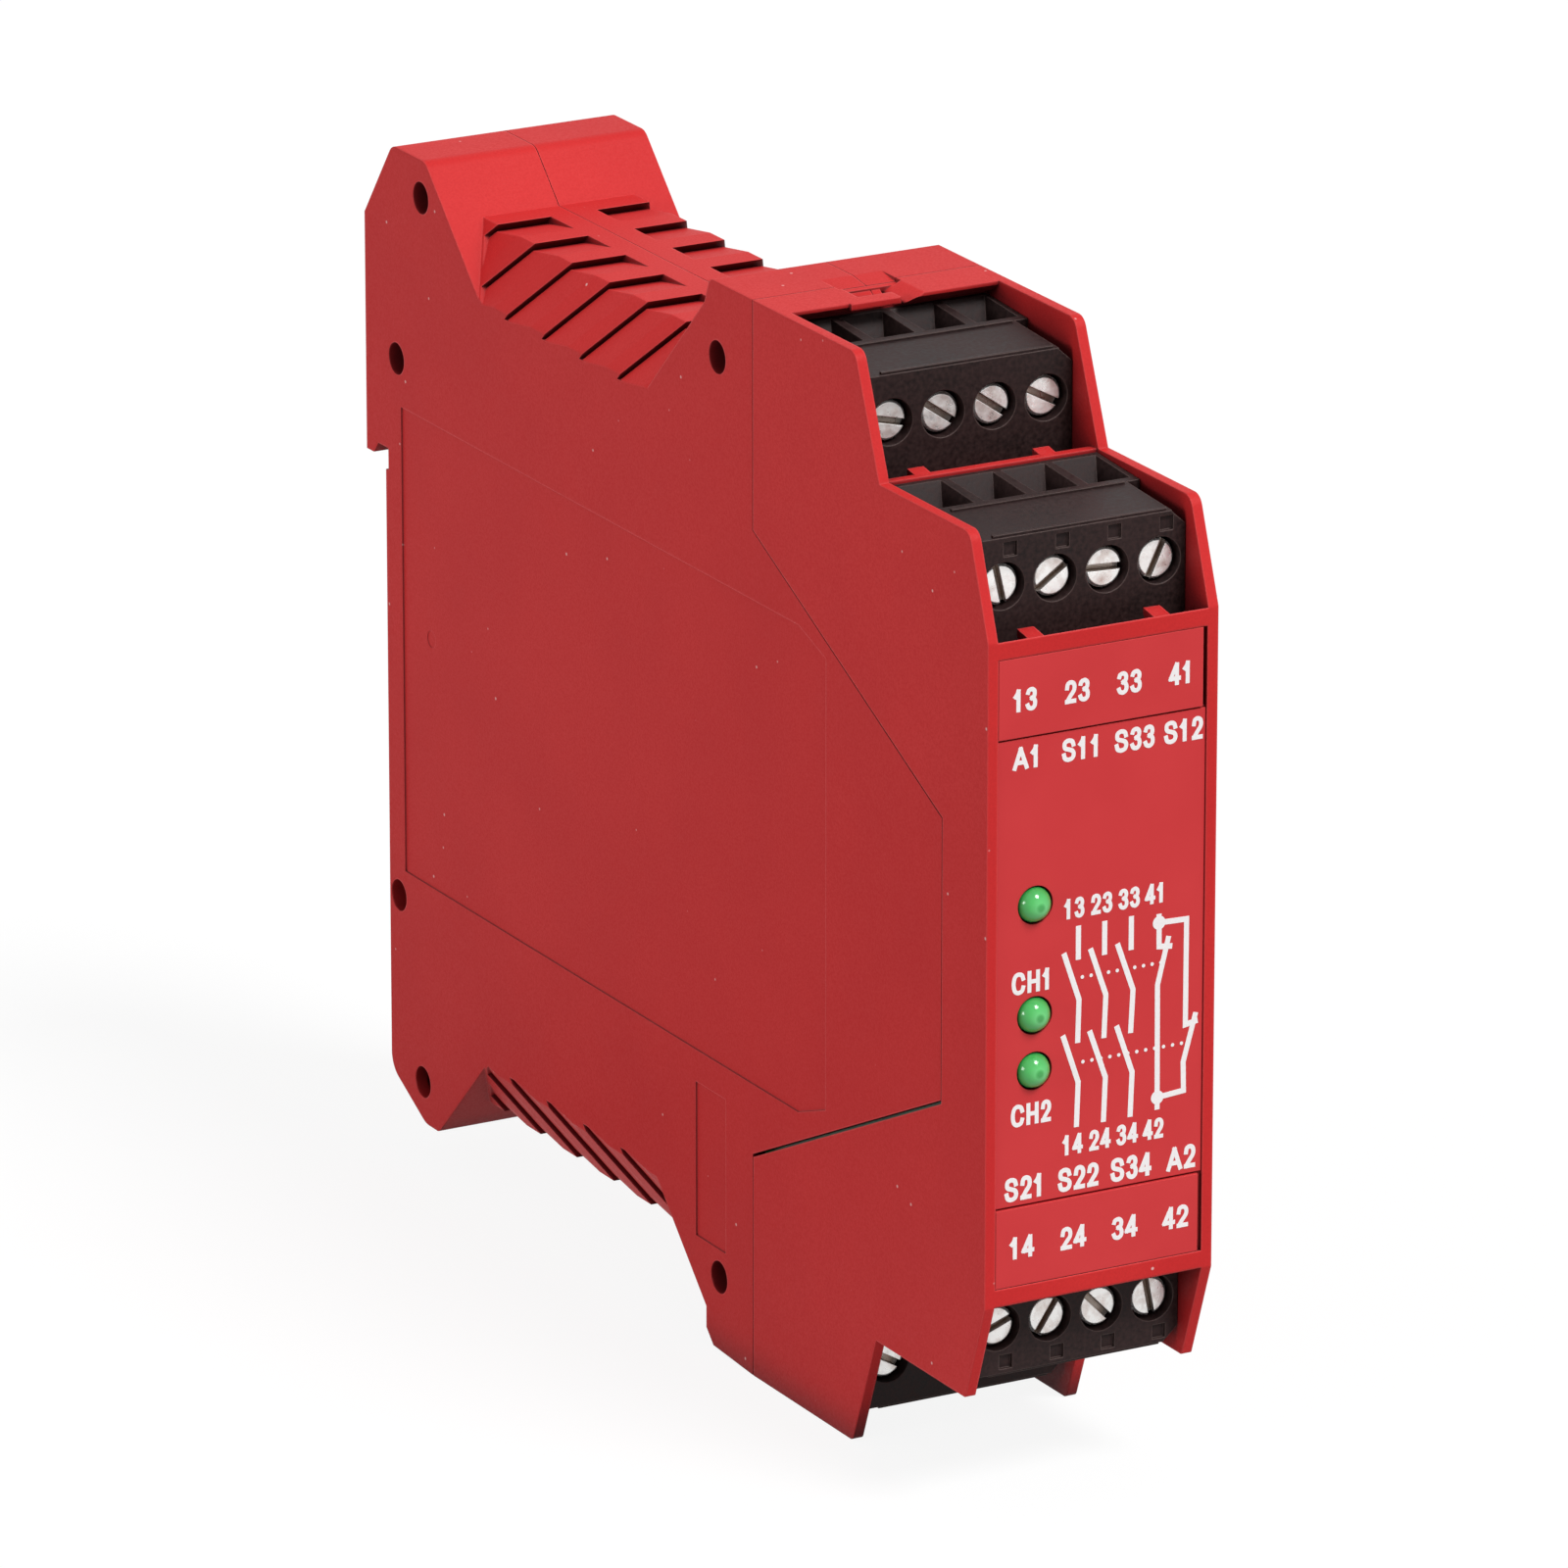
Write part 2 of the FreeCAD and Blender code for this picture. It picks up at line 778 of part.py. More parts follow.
def make_front_cap():
    outline = cap_side_outline()
    inner = half_width - cap_side_wall
    walls = [
        side_prism(outline, -half_width, -inner),
        side_prism(outline, inner, half_width),
    ]
    plate = side_prism(
        [
            (plate_face, face_top),
            (plate_back, face_top - rim_bevel),
            (plate_back, -face_top + rim_bevel),
            (plate_face, -face_top),
        ],
        -inner - 0.3, inner + 0.3)
    cap = walls[0].fuse([walls[1], plate] + both_halves(upper_steps()))
    cuts = both_halves(catch_cuts() + tail_slots())
    cuts.append(side_prism(tongue_outline(tongue_gap, tongue_slot, tongue_gap),
                           -half_width - 1, half_width + 1).cut(
        box(-inner, inner, 0, plate_face - 5, -roof_z, roof_z)))
    label_half = half_width - label_inset
    recess_top = face_top - label_margin
    cuts.append(box(-label_half, label_half, plate_face - 1, plate_face + label_recess,
                    -recess_top, recess_top))
    strip_low = recess_top - strip_height
    cuts.append(box(label_half - strip_end_gap, label_half, plate_face - 1,
                    plate_face + strip_end_depth, strip_low, recess_top))
    for z in led_heights:
        hole_back = Vec(led_x, plate_back + 1, z)
        cuts.append(rod(led_radius + led_fit, hole_back, Vec(led_x, plate_face - 1, z)))
    export("front_cap", only_solid(cap.cut(cuts)))


def make_labels():
    """The label film and the two marker strips that lie in the front recess."""
    left = -(half_width - label_inset) + strip_clearance
    right = half_width - label_inset - strip_clearance
    top = face_top - label_margin
    floor_y = plate_face + label_recess
    film_top = top - strip_height - strip_gap
    film = box(left, right, floor_y, floor_y - label_film, -film_top, film_top)
    holes = []
    for z in led_heights:
        holes.append(rod(led_radius + led_fit, Vec(led_x, plate_back, z),
                         Vec(led_x, plate_face - 1, z)))
    export("front_label", film.cut(holes))
    strip = box(left, right - strip_end_gap, floor_y, plate_face,
                top - strip_height, top - strip_clearance)
    export("marker_strip_upper", strip)
    export("marker_strip_lower", flip(strip))


# ---------------------------------------------------------------- terminal blocks
def make_block(face_y, seat_z, has_pockets):
    """A four-pole block: screw wells in front, wire funnels on top, cages inside."""
    base_z = seat_z + block_seat_gap
    half = block_width / 2
    back_y = face_y + block_depth
    body = side_prism(
        [
            (face_y, base_z),
            (face_y, seat_z + block_front_height),
            (back_y, seat_z + block_rear_height),
            (back_y, base_z),
        ],
        -half, half)
    top = seat_z + block_rear_height + 0.5
    bevel = front_prism(
        [
            (half - block_end_bevel, top),
            (half - block_end_bevel, seat_z + block_front_height - 0.1),
            (half + 0.01, seat_z + block_front_height - block_end_bevel),
            (half + 0.01, top),
        ],
        face_y - 1, face_y + funnel_front - 0.4)
    tools = [bevel]
    axis_z = seat_z + screw_height
    cavity_half = cage_width / 2 + cage_fit
    cavity_back = face_y + cage_back + cage_fit
    cavity_low = seat_z + cage_low - cage_fit
    cavity_high = seat_z + cage_high + cage_fit
    for x in pole_places:
        tools.append(rod(well_radius, Vec(x, face_y - 1, axis_z),
                         Vec(x, face_y + collar_front, axis_z)))
        tools.append(shank_hole(Vec(x, face_y + head_back, axis_z),
                                Vec(x, face_y + cavity_front + 0.5, axis_z)))
        tools.append(box(x - cavity_half, x + cavity_half, face_y + cavity_front, cavity_back,
                         cavity_low, cavity_high))
        tools.append(funnel(x, face_y, cavity_high, seat_z + block_rear_height + 0.2))
        tools.append(box(x - bar_width / 2 - bar_fit, x + bar_width / 2 + bar_fit,
                         face_y + bar_front - bar_fit, face_y + bar_back + bar_fit,
                         cavity_high - 0.1, seat_z - 1))
        if has_pockets:
            low = axis_z + pocket_rise - pocket_side / 2
            left = x + pocket_offset - pocket_side / 2
            tools.append(box(left, left + pocket_side, face_y - 1, face_y + pocket_depth,
                             low, low + pocket_side))
    return only_solid(body.cut(tools))


def funnel(x, face_y, low_z, high_z):
    """A wire funnel: a wide mouth on top that narrows to the cage's wire space."""
    mouth_half = pole_pitch / 2 - funnel_side
    throat_half = funnel_throat / 2
    mouth_front = face_y + funnel_front
    throat_front = face_y + bar_back + 0.1
    throat_back = face_y + cage_inner_back - 0.1
    mouth = rectangle(x - mouth_half, x + mouth_half, mouth_front,
                      mouth_front + funnel_length, high_z)
    throat = rectangle(x - throat_half, x + throat_half, throat_front, throat_back, low_z - 0.05)
    faces = [Part.Face(Part.makePolygon(mouth + mouth[:1]))]
    faces.append(Part.Face(Part.makePolygon(throat + throat[:1])))
    for i in range(4):
        j = (i + 1) % 4
        side = [throat[i], throat[j], mouth[j], mouth[i], throat[i]]
        faces.append(Part.Face(Part.makePolygon(side)))
    return Part.Solid(Part.Shell(faces))


def rectangle(x0, x1, y0, y1, z):
    return [Vec(x0, y0, z), Vec(x1, y0, z), Vec(x1, y1, z), Vec(x0, y1, z)]


def make_screw(x, face_y, seat_z, slot_angle):
    """A slotted clamp screw along Y; its thread is left plain."""
    z = seat_z + screw_height
    front = face_y + head_front
    head = rod(head_radius, Vec(0, front, 0), Vec(0, face_y + head_back, 0))
    shank = flatted_rod(shank_radius, Vec(0, face_y + head_back - 0.1, 0),
                        Vec(0, face_y + shank_end, 0))
    body = head.fuse(shank).removeSplitter()
    slot = box(-head_radius - 1, head_radius + 1, front - 1, front + driver_slot_depth,
               -driver_slot_width / 2, driver_slot_width / 2)
    slot.rotate(Vec(0, 0, 0), Vec(0, -1, 0), slot_angle)
    screw = body.cut(slot)
    screw.translate(Vec(x, 0, z))
    return screw


def make_cage(x, face_y, seat_z):
    """A clamp cage: a threaded nut wall in front and a folded ring around bar and wire."""
    outer = box(x - cage_width / 2, x + cage_width / 2, face_y + cage_front,
                face_y + cage_back, seat_z + cage_low, seat_z + cage_high)
    inner_half = cage_width / 2 - cage_sheet
    inner = box(x - inner_half, x + inner_half, face_y + cage_inner_front,
                face_y + cage_inner_back, seat_z + cage_low - 1, seat_z + cage_high + 1)
    axis_z = seat_z + screw_height
    thread = shank_hole(Vec(x, face_y, axis_z), Vec(x, face_y + cage_inner_front + 0.2, axis_z))
    return outer.cut([inner, thread])


def make_contact(x, face_y, seat_z, bend_z):
    """A contact bar inside the cage, with a tail bent sideways into the circuit board."""
    front = face_y + bar_front
    back = face_y + bar_back
    bar = box(x - bar_width / 2, x + bar_width / 2, front, back,
              seat_z + cage_high - 0.2, seat_z + 0.5)
    tail = box(x - tail_width / 2, x + tail_width / 2, front, back,
               seat_z + 0.6, bend_z - tail_width / 2)
    foot = box(board_left, x + tail_width / 2, front, back,
               bend_z - tail_width / 2, bend_z + tail_width / 2)
    return bar.fuse([tail, foot]).removeSplitter()


def bend_heights(board_edge):
    return [board_edge - tail_margin - i * tail_step for i in range(pole_count)]


def stations():
    """Block name, face, seat, board edge, lower half or not, and the screws' slot angles."""
    return [
        ("upper_rear", rear_block_face, rear_seat, board_top, False, (-14, -35, -35, -28)),
        ("upper_front", front_block_face, front_seat, board_nose_top, False, (-77, 34, -3, 64)),
        ("lower_front", front_block_face, front_seat, board_nose_top, True, (20, 56, -46, -79)),
        ("lower_rear", rear_block_face, rear_seat, board_top, True, (-30, 15, 70, -55)),
    ]


def make_terminals():
    for name, face_y, seat_z, board_edge, is_lower, angles in stations():
        turn = flip if is_lower else (lambda shape: shape)
        block = make_block(face_y, seat_z, face_y == front_block_face)
        export("terminal_block_" + name, turn(block))
        contacts = []
        for i, x in enumerate(pole_places):
            angle = -angles[i] if is_lower else angles[i]
            pole = name + "_" + str(i + 1)
            export("screw_" + pole, turn(make_screw(x, face_y, seat_z, angle)))
            export("cage_" + pole, turn(make_cage(x, face_y, seat_z)))
            bend_z = bend_heights(board_edge)[i]
            contacts.append(turn(make_contact(x, face_y, seat_z, bend_z)))
        export("contacts_" + name, Part.makeCompound(contacts))


# ---------------------------------------------------------------- foot latch
def make_foot_latch():
    """The sprung latch that grips the rail's lower flange, pulled down with a screwdriver."""
    back = -rear_wall - latch_fit
    front = back - latch_thickness
    neck_top = -rail_height / 2 - latch_hook_gap - 0.05
    neck_low = neck_top - latch_neck
    hook_back = rail_flange + latch_hook_gap
    hook_tip = hook_back + latch_hook_depth
    bar_top = neck_top + 1.5
    plan = [
        (front, bar_top),
        (back, bar_top),
        (back, neck_top),
        (hook_back, neck_top),
        (hook_back, -rail_height / 2 + latch_hook_top),
        (hook_back + 0.8, -rail_height / 2 + latch_hook_top),
        (hook_tip, neck_top - 1.2),
        (hook_tip, neck_low),
        (back, neck_low),
        (back, -roof_z),
        (front, -roof_z),
    ]
    latch = side_prism(plan, -latch_half, latch_half)
    latch = latch.common(side_prism(rear_outline(), -half_width, half_width).fuse(
        box(-half_width, half_width, -0.5, hook_tip + 1, -duct_top, neck_low - 1)))
    ledge_z = spring_seat_z()
    half = spring_radius + spring_wire / 2 + spring_room
    spring_slot = box(-half, half, back + 1, front - 1,
                      ledge_z + spring_length, ledge_z - ledge_thickness - latch_fit)
    slot_z = foot_z + pull_slot_rise
    pull_slot = box(-pull_slot_width / 2, pull_slot_width / 2, back + 1, front - 1,
                    slot_z, slot_z + pull_slot_height)
    export("foot_latch", only_solid(latch.cut([spring_slot, pull_slot])))


def make_latch_spring():
    """A compression spring between the fixed ledge and the latch, wound in short straight runs."""
    low_z = spring_seat_z() + spring_wire / 2
    middle_y = -rear_wall - latch_fit - latch_thickness / 2
    steps = spring_turns * spring_sides
    rise = (spring_length - spring_wire - spring_end_fit) / steps
    points = []
    for i in range(steps + 1):
        turn = 2 * math.pi * i / spring_sides
        points.append(Vec(spring_radius * math.cos(turn),
                          middle_y + spring_radius * math.sin(turn), low_z + i * rise))
    path = Part.makePolygon(points)
    corners = []
    for i in range(4):
        angle = math.pi * (0.25 + i / 2)
        out = Vec(math.cos(angle), 0, 0) + Vec(0, 0, math.sin(angle))
        corners.append(points[0] + out * (spring_wire / math.sqrt(2)))
    section = Part.makePolygon(corners + corners[:1])
    pipe = Part.BRepOffsetAPI.MakePipeShell(path)
    pipe.setTransitionMode(1)
    pipe.add(section)
    pipe.build()
    pipe.makeSolid()
    export("latch_spring", pipe.shape())


# ---------------------------------------------------------------- inside
def relay_pin_places(base_z):
    """Pin centres of one relay, as (y, z)."""
    low = base_z + relay_pin_inset
    high = base_z + relay_height - relay_pin_inset
    first = -relay_rear - relay_pin_inset
    step = (relay_length - 2 * relay_pin_inset) / (relay_pin_rows - 1)
    places = []
    for i in range(relay_pin_rows):
        places.append((first - i * step, low))
        places.append((first - i * step, high))
    return places


def pin_bar(y, z, size):
    return box(board_left, board_face + 0.2, y - size / 2, y + size / 2, z - size / 2, z + size / 2)


def make_relays():
    for name, base_z in (("relay_upper", relay_gap / 2),
                         ("relay_lower", -relay_gap / 2 - relay_height)):
        case = box(board_face, board_face + part_room, -relay_rear, -relay_rear - relay_length,
                   base_z, base_z + relay_height)
        top_edges = [e for e in case.Edges if e.BoundBox.XMin > board_face + part_room - 0.01]
        case = case.makeChamfer(relay_bevel, top_edges)
        pins = [pin_bar(y, z, relay_pin_size) for y, z in relay_pin_places(base_z)]
        export(name, case.fuse(pins).removeSplitter())


def component_places():
    """Centres of the small parts in front of the relays, as name to (y, z)."""
    row_y = -relay_rear - relay_length - part_gap - capacitor_radius
    next_y = row_y - capacitor_radius - part_gap
    return {
        "capacitor_upper": (row_y, capacitor_rise),
        "capacitor_lower": (row_y, -capacitor_rise),
        "choke": (next_y - choke_length / 2, capacitor_rise),
        "fuse": (next_y - fuse_thickness / 2, -fuse_drop),
        "chip_upper": (next_y - choke_length / 2, chip_rise),
        "chip_lower": (next_y - choke_length / 2, -chip_drop),
    }


def make_small_parts():
    places = component_places()
    for name in ("capacitor_upper", "capacitor_lower"):
        y, z = places[name]
        height = min(capacitor_height, part_room)
        can = rod(capacitor_radius, Vec(board_face, y, z), Vec(board_face + height, y, z))
        export(name, can)
    y, z = places["choke"]
    half = choke_length / 2
    base = box(board_face, board_face + choke_base, y - half, y + half, z - half, z + half)
    drum = rod(half - choke_inset, Vec(board_face + choke_base / 2, y, z), Vec(board_face + choke_height, y, z))
    export("power_choke", base.fuse(drum).removeSplitter())
    y, z = places["fuse"]
    disc_x = board_face + fuse_radius
    disc = rod(fuse_radius, Vec(disc_x, y - fuse_thickness / 2, z),
               Vec(disc_x, y + fuse_thickness / 2, z))
    export("resettable_fuse", disc)
    chips = []
    for name in ("chip_upper", "chip_lower"):
        y, z = places[name]
        chips.append(box(board_face, board_face + chip_height, y - chip_length / 2,
                         y + chip_length / 2, z - chip_width / 2, z + chip_width / 2))
    export("logic_chips", Part.makeCompound(chips))


def led_back_y():
    return plate_face - led_stand_out + led_length


def lead_places():
    """Depth and height of each indicator lead where it enters the board."""
    places = []
    for z in led_heights:
        for side in (-1, 1):
            places.append((led_back_y() + lead_run, z + side * lead_spread / 2))
    return places


def make_indicators():
    back = led_back_y()
    for name, z in zip(("power", "channel_1", "channel_2"), led_heights):
        dome_y = plate_face - led_stand_out + led_radius
        flange = rod(led_flange_radius, Vec(led_x, back, z), Vec(led_x, back - led_flange, z))
        barrel = rod(led_radius, Vec(led_x, back, z), Vec(led_x, dome_y, z))
        dome = Part.makeSphere(led_radius, Vec(led_x, dome_y, z))
        export("led_" + name, barrel.fuse([flange, dome]).removeSplitter())
    leads = []
    half = lead_side / 2
    for y, z in lead_places():
        run = box(led_x - half, led_x + half, back, y + half, z - half, z + half)
        drop = box(board_left, led_x + half, y - half, y + half, z - half, z + half)
        leads.append(run.fuse(drop).removeSplitter())
    export("led_leads", Part.makeCompound(leads))


def make_board():
    """The circuit board on edge beside the left wall, narrowed where the front steps in."""
    step_y = riser_back + board_step_gap
    nose_y = plate_back + board_front_gap
    outline = [
        (-board_rear, board_top),
        (step_y, board_top),
        (step_y, board_nose_top),
        (nose_y, board_nose_top),
        (nose_y, -board_nose_top),
        (step_y, -board_nose_top),
        (step_y, -board_top),
        (-board_rear, -board_top),
    ]
    board = side_prism(outline, board_left, board_face)
    holes = []
    for base_z in (relay_gap / 2, -relay_gap / 2 - relay_height):
        for y, z in relay_pin_places(base_z):
            holes.append(pin_bar(y, z, relay_pin_size + 2 * hole_fit))
    for y, z in lead_places():
        holes.append(pin_bar(y, z, lead_side + 2 * hole_fit))
    for _, face_y, _, board_edge, is_lower, _ in stations():
        middle = face_y + (bar_front + bar_back) / 2
        sign = -1 if is_lower else 1
        for z in bend_heights(board_edge):
            holes.append(pin_bar(middle, sign * z, tail_width + 2 * hole_fit))
    export("main_board", board.cut(holes))


os.makedirs("parts", exist_ok=True)
make_shells()
make_front_cap()
make_labels()
make_terminals()
make_foot_latch()
make_latch_spring()
make_board()
make_relays()
make_small_parts()
make_indicators()
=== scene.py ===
import bpy
import bmesh
import json
import math
from mathutils import Vector, Matrix

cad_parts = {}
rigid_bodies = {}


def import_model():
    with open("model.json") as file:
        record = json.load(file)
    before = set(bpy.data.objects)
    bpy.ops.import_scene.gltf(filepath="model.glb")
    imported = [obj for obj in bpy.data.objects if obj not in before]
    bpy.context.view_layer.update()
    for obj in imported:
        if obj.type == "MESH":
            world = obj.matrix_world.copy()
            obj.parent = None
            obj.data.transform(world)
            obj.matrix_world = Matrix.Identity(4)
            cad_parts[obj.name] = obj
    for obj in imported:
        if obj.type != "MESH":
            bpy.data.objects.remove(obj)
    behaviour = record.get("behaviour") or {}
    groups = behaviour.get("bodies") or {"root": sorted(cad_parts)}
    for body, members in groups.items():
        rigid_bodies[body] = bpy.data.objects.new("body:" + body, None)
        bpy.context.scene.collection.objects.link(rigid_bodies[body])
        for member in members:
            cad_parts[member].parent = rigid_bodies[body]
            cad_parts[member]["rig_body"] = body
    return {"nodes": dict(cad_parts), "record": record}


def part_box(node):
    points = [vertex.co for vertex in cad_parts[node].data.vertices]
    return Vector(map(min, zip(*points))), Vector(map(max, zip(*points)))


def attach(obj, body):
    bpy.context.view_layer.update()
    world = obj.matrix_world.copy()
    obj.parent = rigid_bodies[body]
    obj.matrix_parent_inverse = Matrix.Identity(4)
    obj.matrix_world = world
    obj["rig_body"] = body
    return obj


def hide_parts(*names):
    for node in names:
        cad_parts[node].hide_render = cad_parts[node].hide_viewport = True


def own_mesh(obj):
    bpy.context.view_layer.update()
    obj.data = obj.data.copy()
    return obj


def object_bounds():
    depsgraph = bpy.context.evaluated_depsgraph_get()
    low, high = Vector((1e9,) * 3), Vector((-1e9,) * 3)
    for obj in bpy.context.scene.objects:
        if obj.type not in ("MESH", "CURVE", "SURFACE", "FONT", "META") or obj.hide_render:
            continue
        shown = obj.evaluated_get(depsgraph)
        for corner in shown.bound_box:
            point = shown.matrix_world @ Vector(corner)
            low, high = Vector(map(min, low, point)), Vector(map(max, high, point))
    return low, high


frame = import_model()
nodes = frame["nodes"]
cadBox = [list(corner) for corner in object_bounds()]
mm = 0.001
print("frame loaded:", len(nodes), "nodes")


def newMaterial(name):
    material = bpy.data.materials.new(name)
    material.use_nodes = True
    tree = material.node_tree
    return material, tree, tree.nodes["Principled BSDF"]


def link(tree, source, target):
    tree.links.new(source, target)


def noise(tree, scale, detail=2.0, roughness=0.5, stretch=None):
    # noise in the object's own metres, so the grain keeps its real size
    coords = tree.nodes.new("ShaderNodeTexCoord")
    texture = tree.nodes.new("ShaderNodeTexNoise")
    texture.inputs["Scale"].default_value = scale
    texture.inputs["Detail"].default_value = detail
    texture.inputs["Roughness"].default_value = roughness
    if stretch:
        mapping = tree.nodes.new("ShaderNodeMapping")
        mapping.inputs["Scale"].default_value = stretch
        link(tree, coords.outputs["Object"], mapping.inputs["Vector"])
        link(tree, mapping.outputs["Vector"], texture.inputs["Vector"])
    else:
        link(tree, coords.outputs["Object"], texture.inputs["Vector"])
    return texture.outputs["Fac"]


def bands(tree, value, stops):
    node = tree.nodes.new("ShaderNodeValToRGB")
    elements = node.color_ramp.elements
    while len(elements) < len(stops):
        elements.new(0.5)
    for element, (place, colour) in zip(elements, stops):
        element.position = place
        element.color = (*colour, 1)
    link(tree, value, node.inputs["Fac"])
    return node.outputs["Color"]


def fit(tree, value, low, high, newLow, newHigh):
    node = tree.nodes.new("ShaderNodeMapRange")
    node.inputs["From Min"].default_value = low
    node.inputs["From Max"].default_value = high
    node.inputs["To Min"].default_value = newLow
    node.inputs["To Max"].default_value = newHigh
    link(tree, value, node.inputs["Value"])
    return node.outputs["Result"]


def mixColours(tree, factor, first, second):
    node = tree.nodes.new("ShaderNodeMix")
    node.data_type = "RGBA"
    for socket, value in (("Factor", factor), ("A", first), ("B", second)):
        target = [s for s in node.inputs if s.name == socket and s.enabled][0]
        if isinstance(value, bpy.types.NodeSocket):
            link(tree, value, target)
        elif socket == "Factor":
            target.default_value = value
        else:
            target.default_value = (*value, 1)
    return [s for s in node.outputs if s.enabled][0]


def roundedEdgesWithHighlight(tree, radius):
    # a soft radius on every edge, and a mask that is 1 where the bevel turns the surface most; the
    # callers paint a highlight on the edges with this mask
    bevel = tree.nodes.new("ShaderNodeBevel")
    bevel.samples = 6
    bevel.inputs["Radius"].default_value = radius
    geometry = tree.nodes.new("ShaderNodeNewGeometry")
    dot = tree.nodes.new("ShaderNodeVectorMath")
    dot.operation = "DOT_PRODUCT"
    link(tree, bevel.outputs["Normal"], dot.inputs[0])
    link(tree, geometry.outputs["Normal"], dot.inputs[1])
    return bevel.outputs["Normal"], fit(tree, dot.outputs["Value"], 0.99, 0.8, 0.0, 1.0)


relief = dict(plastic=0.00003, metal=0.00004)  # how high the grain stands, in metres


def bump(tree, height, strength, distance, normal):
    node = tree.nodes.new("ShaderNodeBump")
    node.inputs["Strength"].default_value = strength
    node.inputs["Distance"].default_value = distance
    link(tree, height, node.inputs["Height"])
    link(tree, normal, node.inputs["Normal"])
    return node.outputs["Normal"]


def occlusionShade(tree, reach, alone=True):
    # painted shade: how deep a point sits in a narrow slot, of its own piece or of any; the
    # callers darken the colour by it
    node = tree.nodes.new("ShaderNodeAmbientOcclusion")
    node.samples = 8
    node.only_local = alone
    node.inputs["Distance"].default_value = reach
    return fit(tree, node.outputs["AO"], 0.35, 0.95, 1.0, 0.0)


dust = dict(cells=260, core=0.022, rim=0.045, colour=(0.78, 0.52, 0.50))


def dustSpecks(tree, amount):
    # a few pale points, a tenth of a millimetre wide, as handling leaves them
    cells = tree.nodes.new("ShaderNodeTexVoronoi")
    cells.inputs["Scale"].default_value = dust["cells"]
    coords = tree.nodes.new("ShaderNodeTexCoord")
    link(tree, coords.outputs["Object"], cells.inputs["Vector"])
    return fit(tree, cells.outputs["Distance"], dust["core"], dust["rim"], amount, 0.0)


def mouldedPlastic(name, recipe):
    material, tree, shader = newMaterial(name)
    grain = noise(tree, recipe["grain"], 3.0)
    cloud = noise(tree, recipe["cloud"], 2.0)
    normal, edge = roundedEdgesWithHighlight(tree, recipe["edge"])
    patches = fit(tree, cloud, 0.35, 0.65, 0.0, 1.0)
    mottle = fit(tree, grain, 0.3, 0.7, 0.0, recipe["mottle"])
    colour = mixColours(tree, patches, recipe["colour"], recipe["shade"])
    colour = mixColours(tree, mottle, colour, recipe["grey"])
    # painted highlight: the colour turns paler on every rounded edge
    colour = mixColours(tree, edge, colour, recipe["edgeTintAndHighlight"])
    # painted shade: dark maroon where occlusion from nearby parts reaches, in slots and on walls
    # beside the blocks
    if "hollow" in recipe:
        depth = fit(tree, occlusionShade(tree, recipe["reach"], False), 0.25, 1.0, 0.0, 1.0)
        colour = mixColours(tree, depth, colour, recipe["hollow"])
    if "dust" in recipe:
        colour = mixColours(tree, dustSpecks(tree, recipe["dust"]), colour, dust["colour"])
    link(tree, colour, shader.inputs["Base Color"])
    link(tree, fit(tree, grain, 0.3, 0.7, *recipe["roughness"]), shader.inputs["Roughness"])
    relieved = bump(tree, grain, recipe["bump"], relief["plastic"], normal)
    link(tree, relieved, shader.inputs["Normal"])
    shader.inputs["IOR"].default_value = recipe["ior"]
    return material


# the red case's darkest colour, used in hollows, is painted shade
red = dict(
    colour=(0.60, 0.024, 0.024), shade=(0.56, 0.020, 0.021), grey=(0.50, 0.020, 0.021),
    edgeTintAndHighlight=(0.78, 0.075, 0.075), grain=5200, cloud=60, mottle=0.5, edge=0.00028,
    roughness=(0.48, 0.62), bump=0.35, ior=1.25, dust=0.8, hollow=(0.12, 0.008, 0.010),
    reach=0.006)
film = dict(
    colour=(0.63, 0.041, 0.045), shade=(0.60, 0.036, 0.040), grey=(0.57, 0.034, 0.037),
    edgeTintAndHighlight=(0.72, 0.055, 0.055), grain=9000, cloud=120, mottle=0.3, edge=0.00008,
    roughness=(0.42, 0.52), bump=0.15, ior=1.3)
plastics = {
    "case_red": red,
    "cap_red": dict(red, colour=(0.62, 0.026, 0.026), shade=(0.58, 0.022, 0.023)),
    "latch_plastic": dict(red, colour=(0.56, 0.024, 0.024)),
    "label_red": film,
    "strip_red": dict(film, edge=0.00012),
    "terminal_black": dict(
        colour=(0.018, 0.009, 0.009), shade=(0.010, 0.006, 0.006), grey=(0.040, 0.022, 0.021),
        edgeTintAndHighlight=(0.120, 0.082, 0.076), grain=2600, cloud=150, mottle=0.8, edge=0.00018,
        roughness=(0.42, 0.60), bump=0.5, ior=1.24),
    "relay_case": dict(
        colour=(0.80, 0.78, 0.70), shade=(0.76, 0.74, 0.66), grey=(0.70, 0.68, 0.6),
        edgeTintAndHighlight=(0.88, 0.86, 0.8), grain=4000, cloud=80, mottle=0.3, edge=0.0004,
        roughness=(0.28, 0.4), bump=0.15, ior=1.45),
    "choke_ferrite": dict(
        colour=(0.05, 0.05, 0.055), shade=(0.035, 0.035, 0.04), grey=(0.1, 0.1, 0.1),
        edgeTintAndHighlight=(0.12, 0.12, 0.12), grain=2500, cloud=300, mottle=0.8, edge=0.0003,
        roughness=(0.6, 0.8), bump=0.6, ior=1.5),
    "fuse_resin": dict(
        colour=(0.72, 0.40, 0.04), shade=(0.66, 0.34, 0.03), grey=(0.6, 0.3, 0.03),
        edgeTintAndHighlight=(0.8, 0.5, 0.1), grain=1800, cloud=200, mottle=0.4, edge=0.0005,
        roughness=(0.2, 0.35), bump=0.3, ior=1.5),
    "chip_epoxy": dict(
        colour=(0.03, 0.03, 0.032), shade=(0.025, 0.025, 0.026), grey=(0.05, 0.05, 0.05),
        edgeTintAndHighlight=(0.08, 0.08, 0.08), grain=6000, cloud=400, mottle=0.6, edge=0.00015,
        roughness=(0.5, 0.7), bump=0.4, ior=1.5),
}


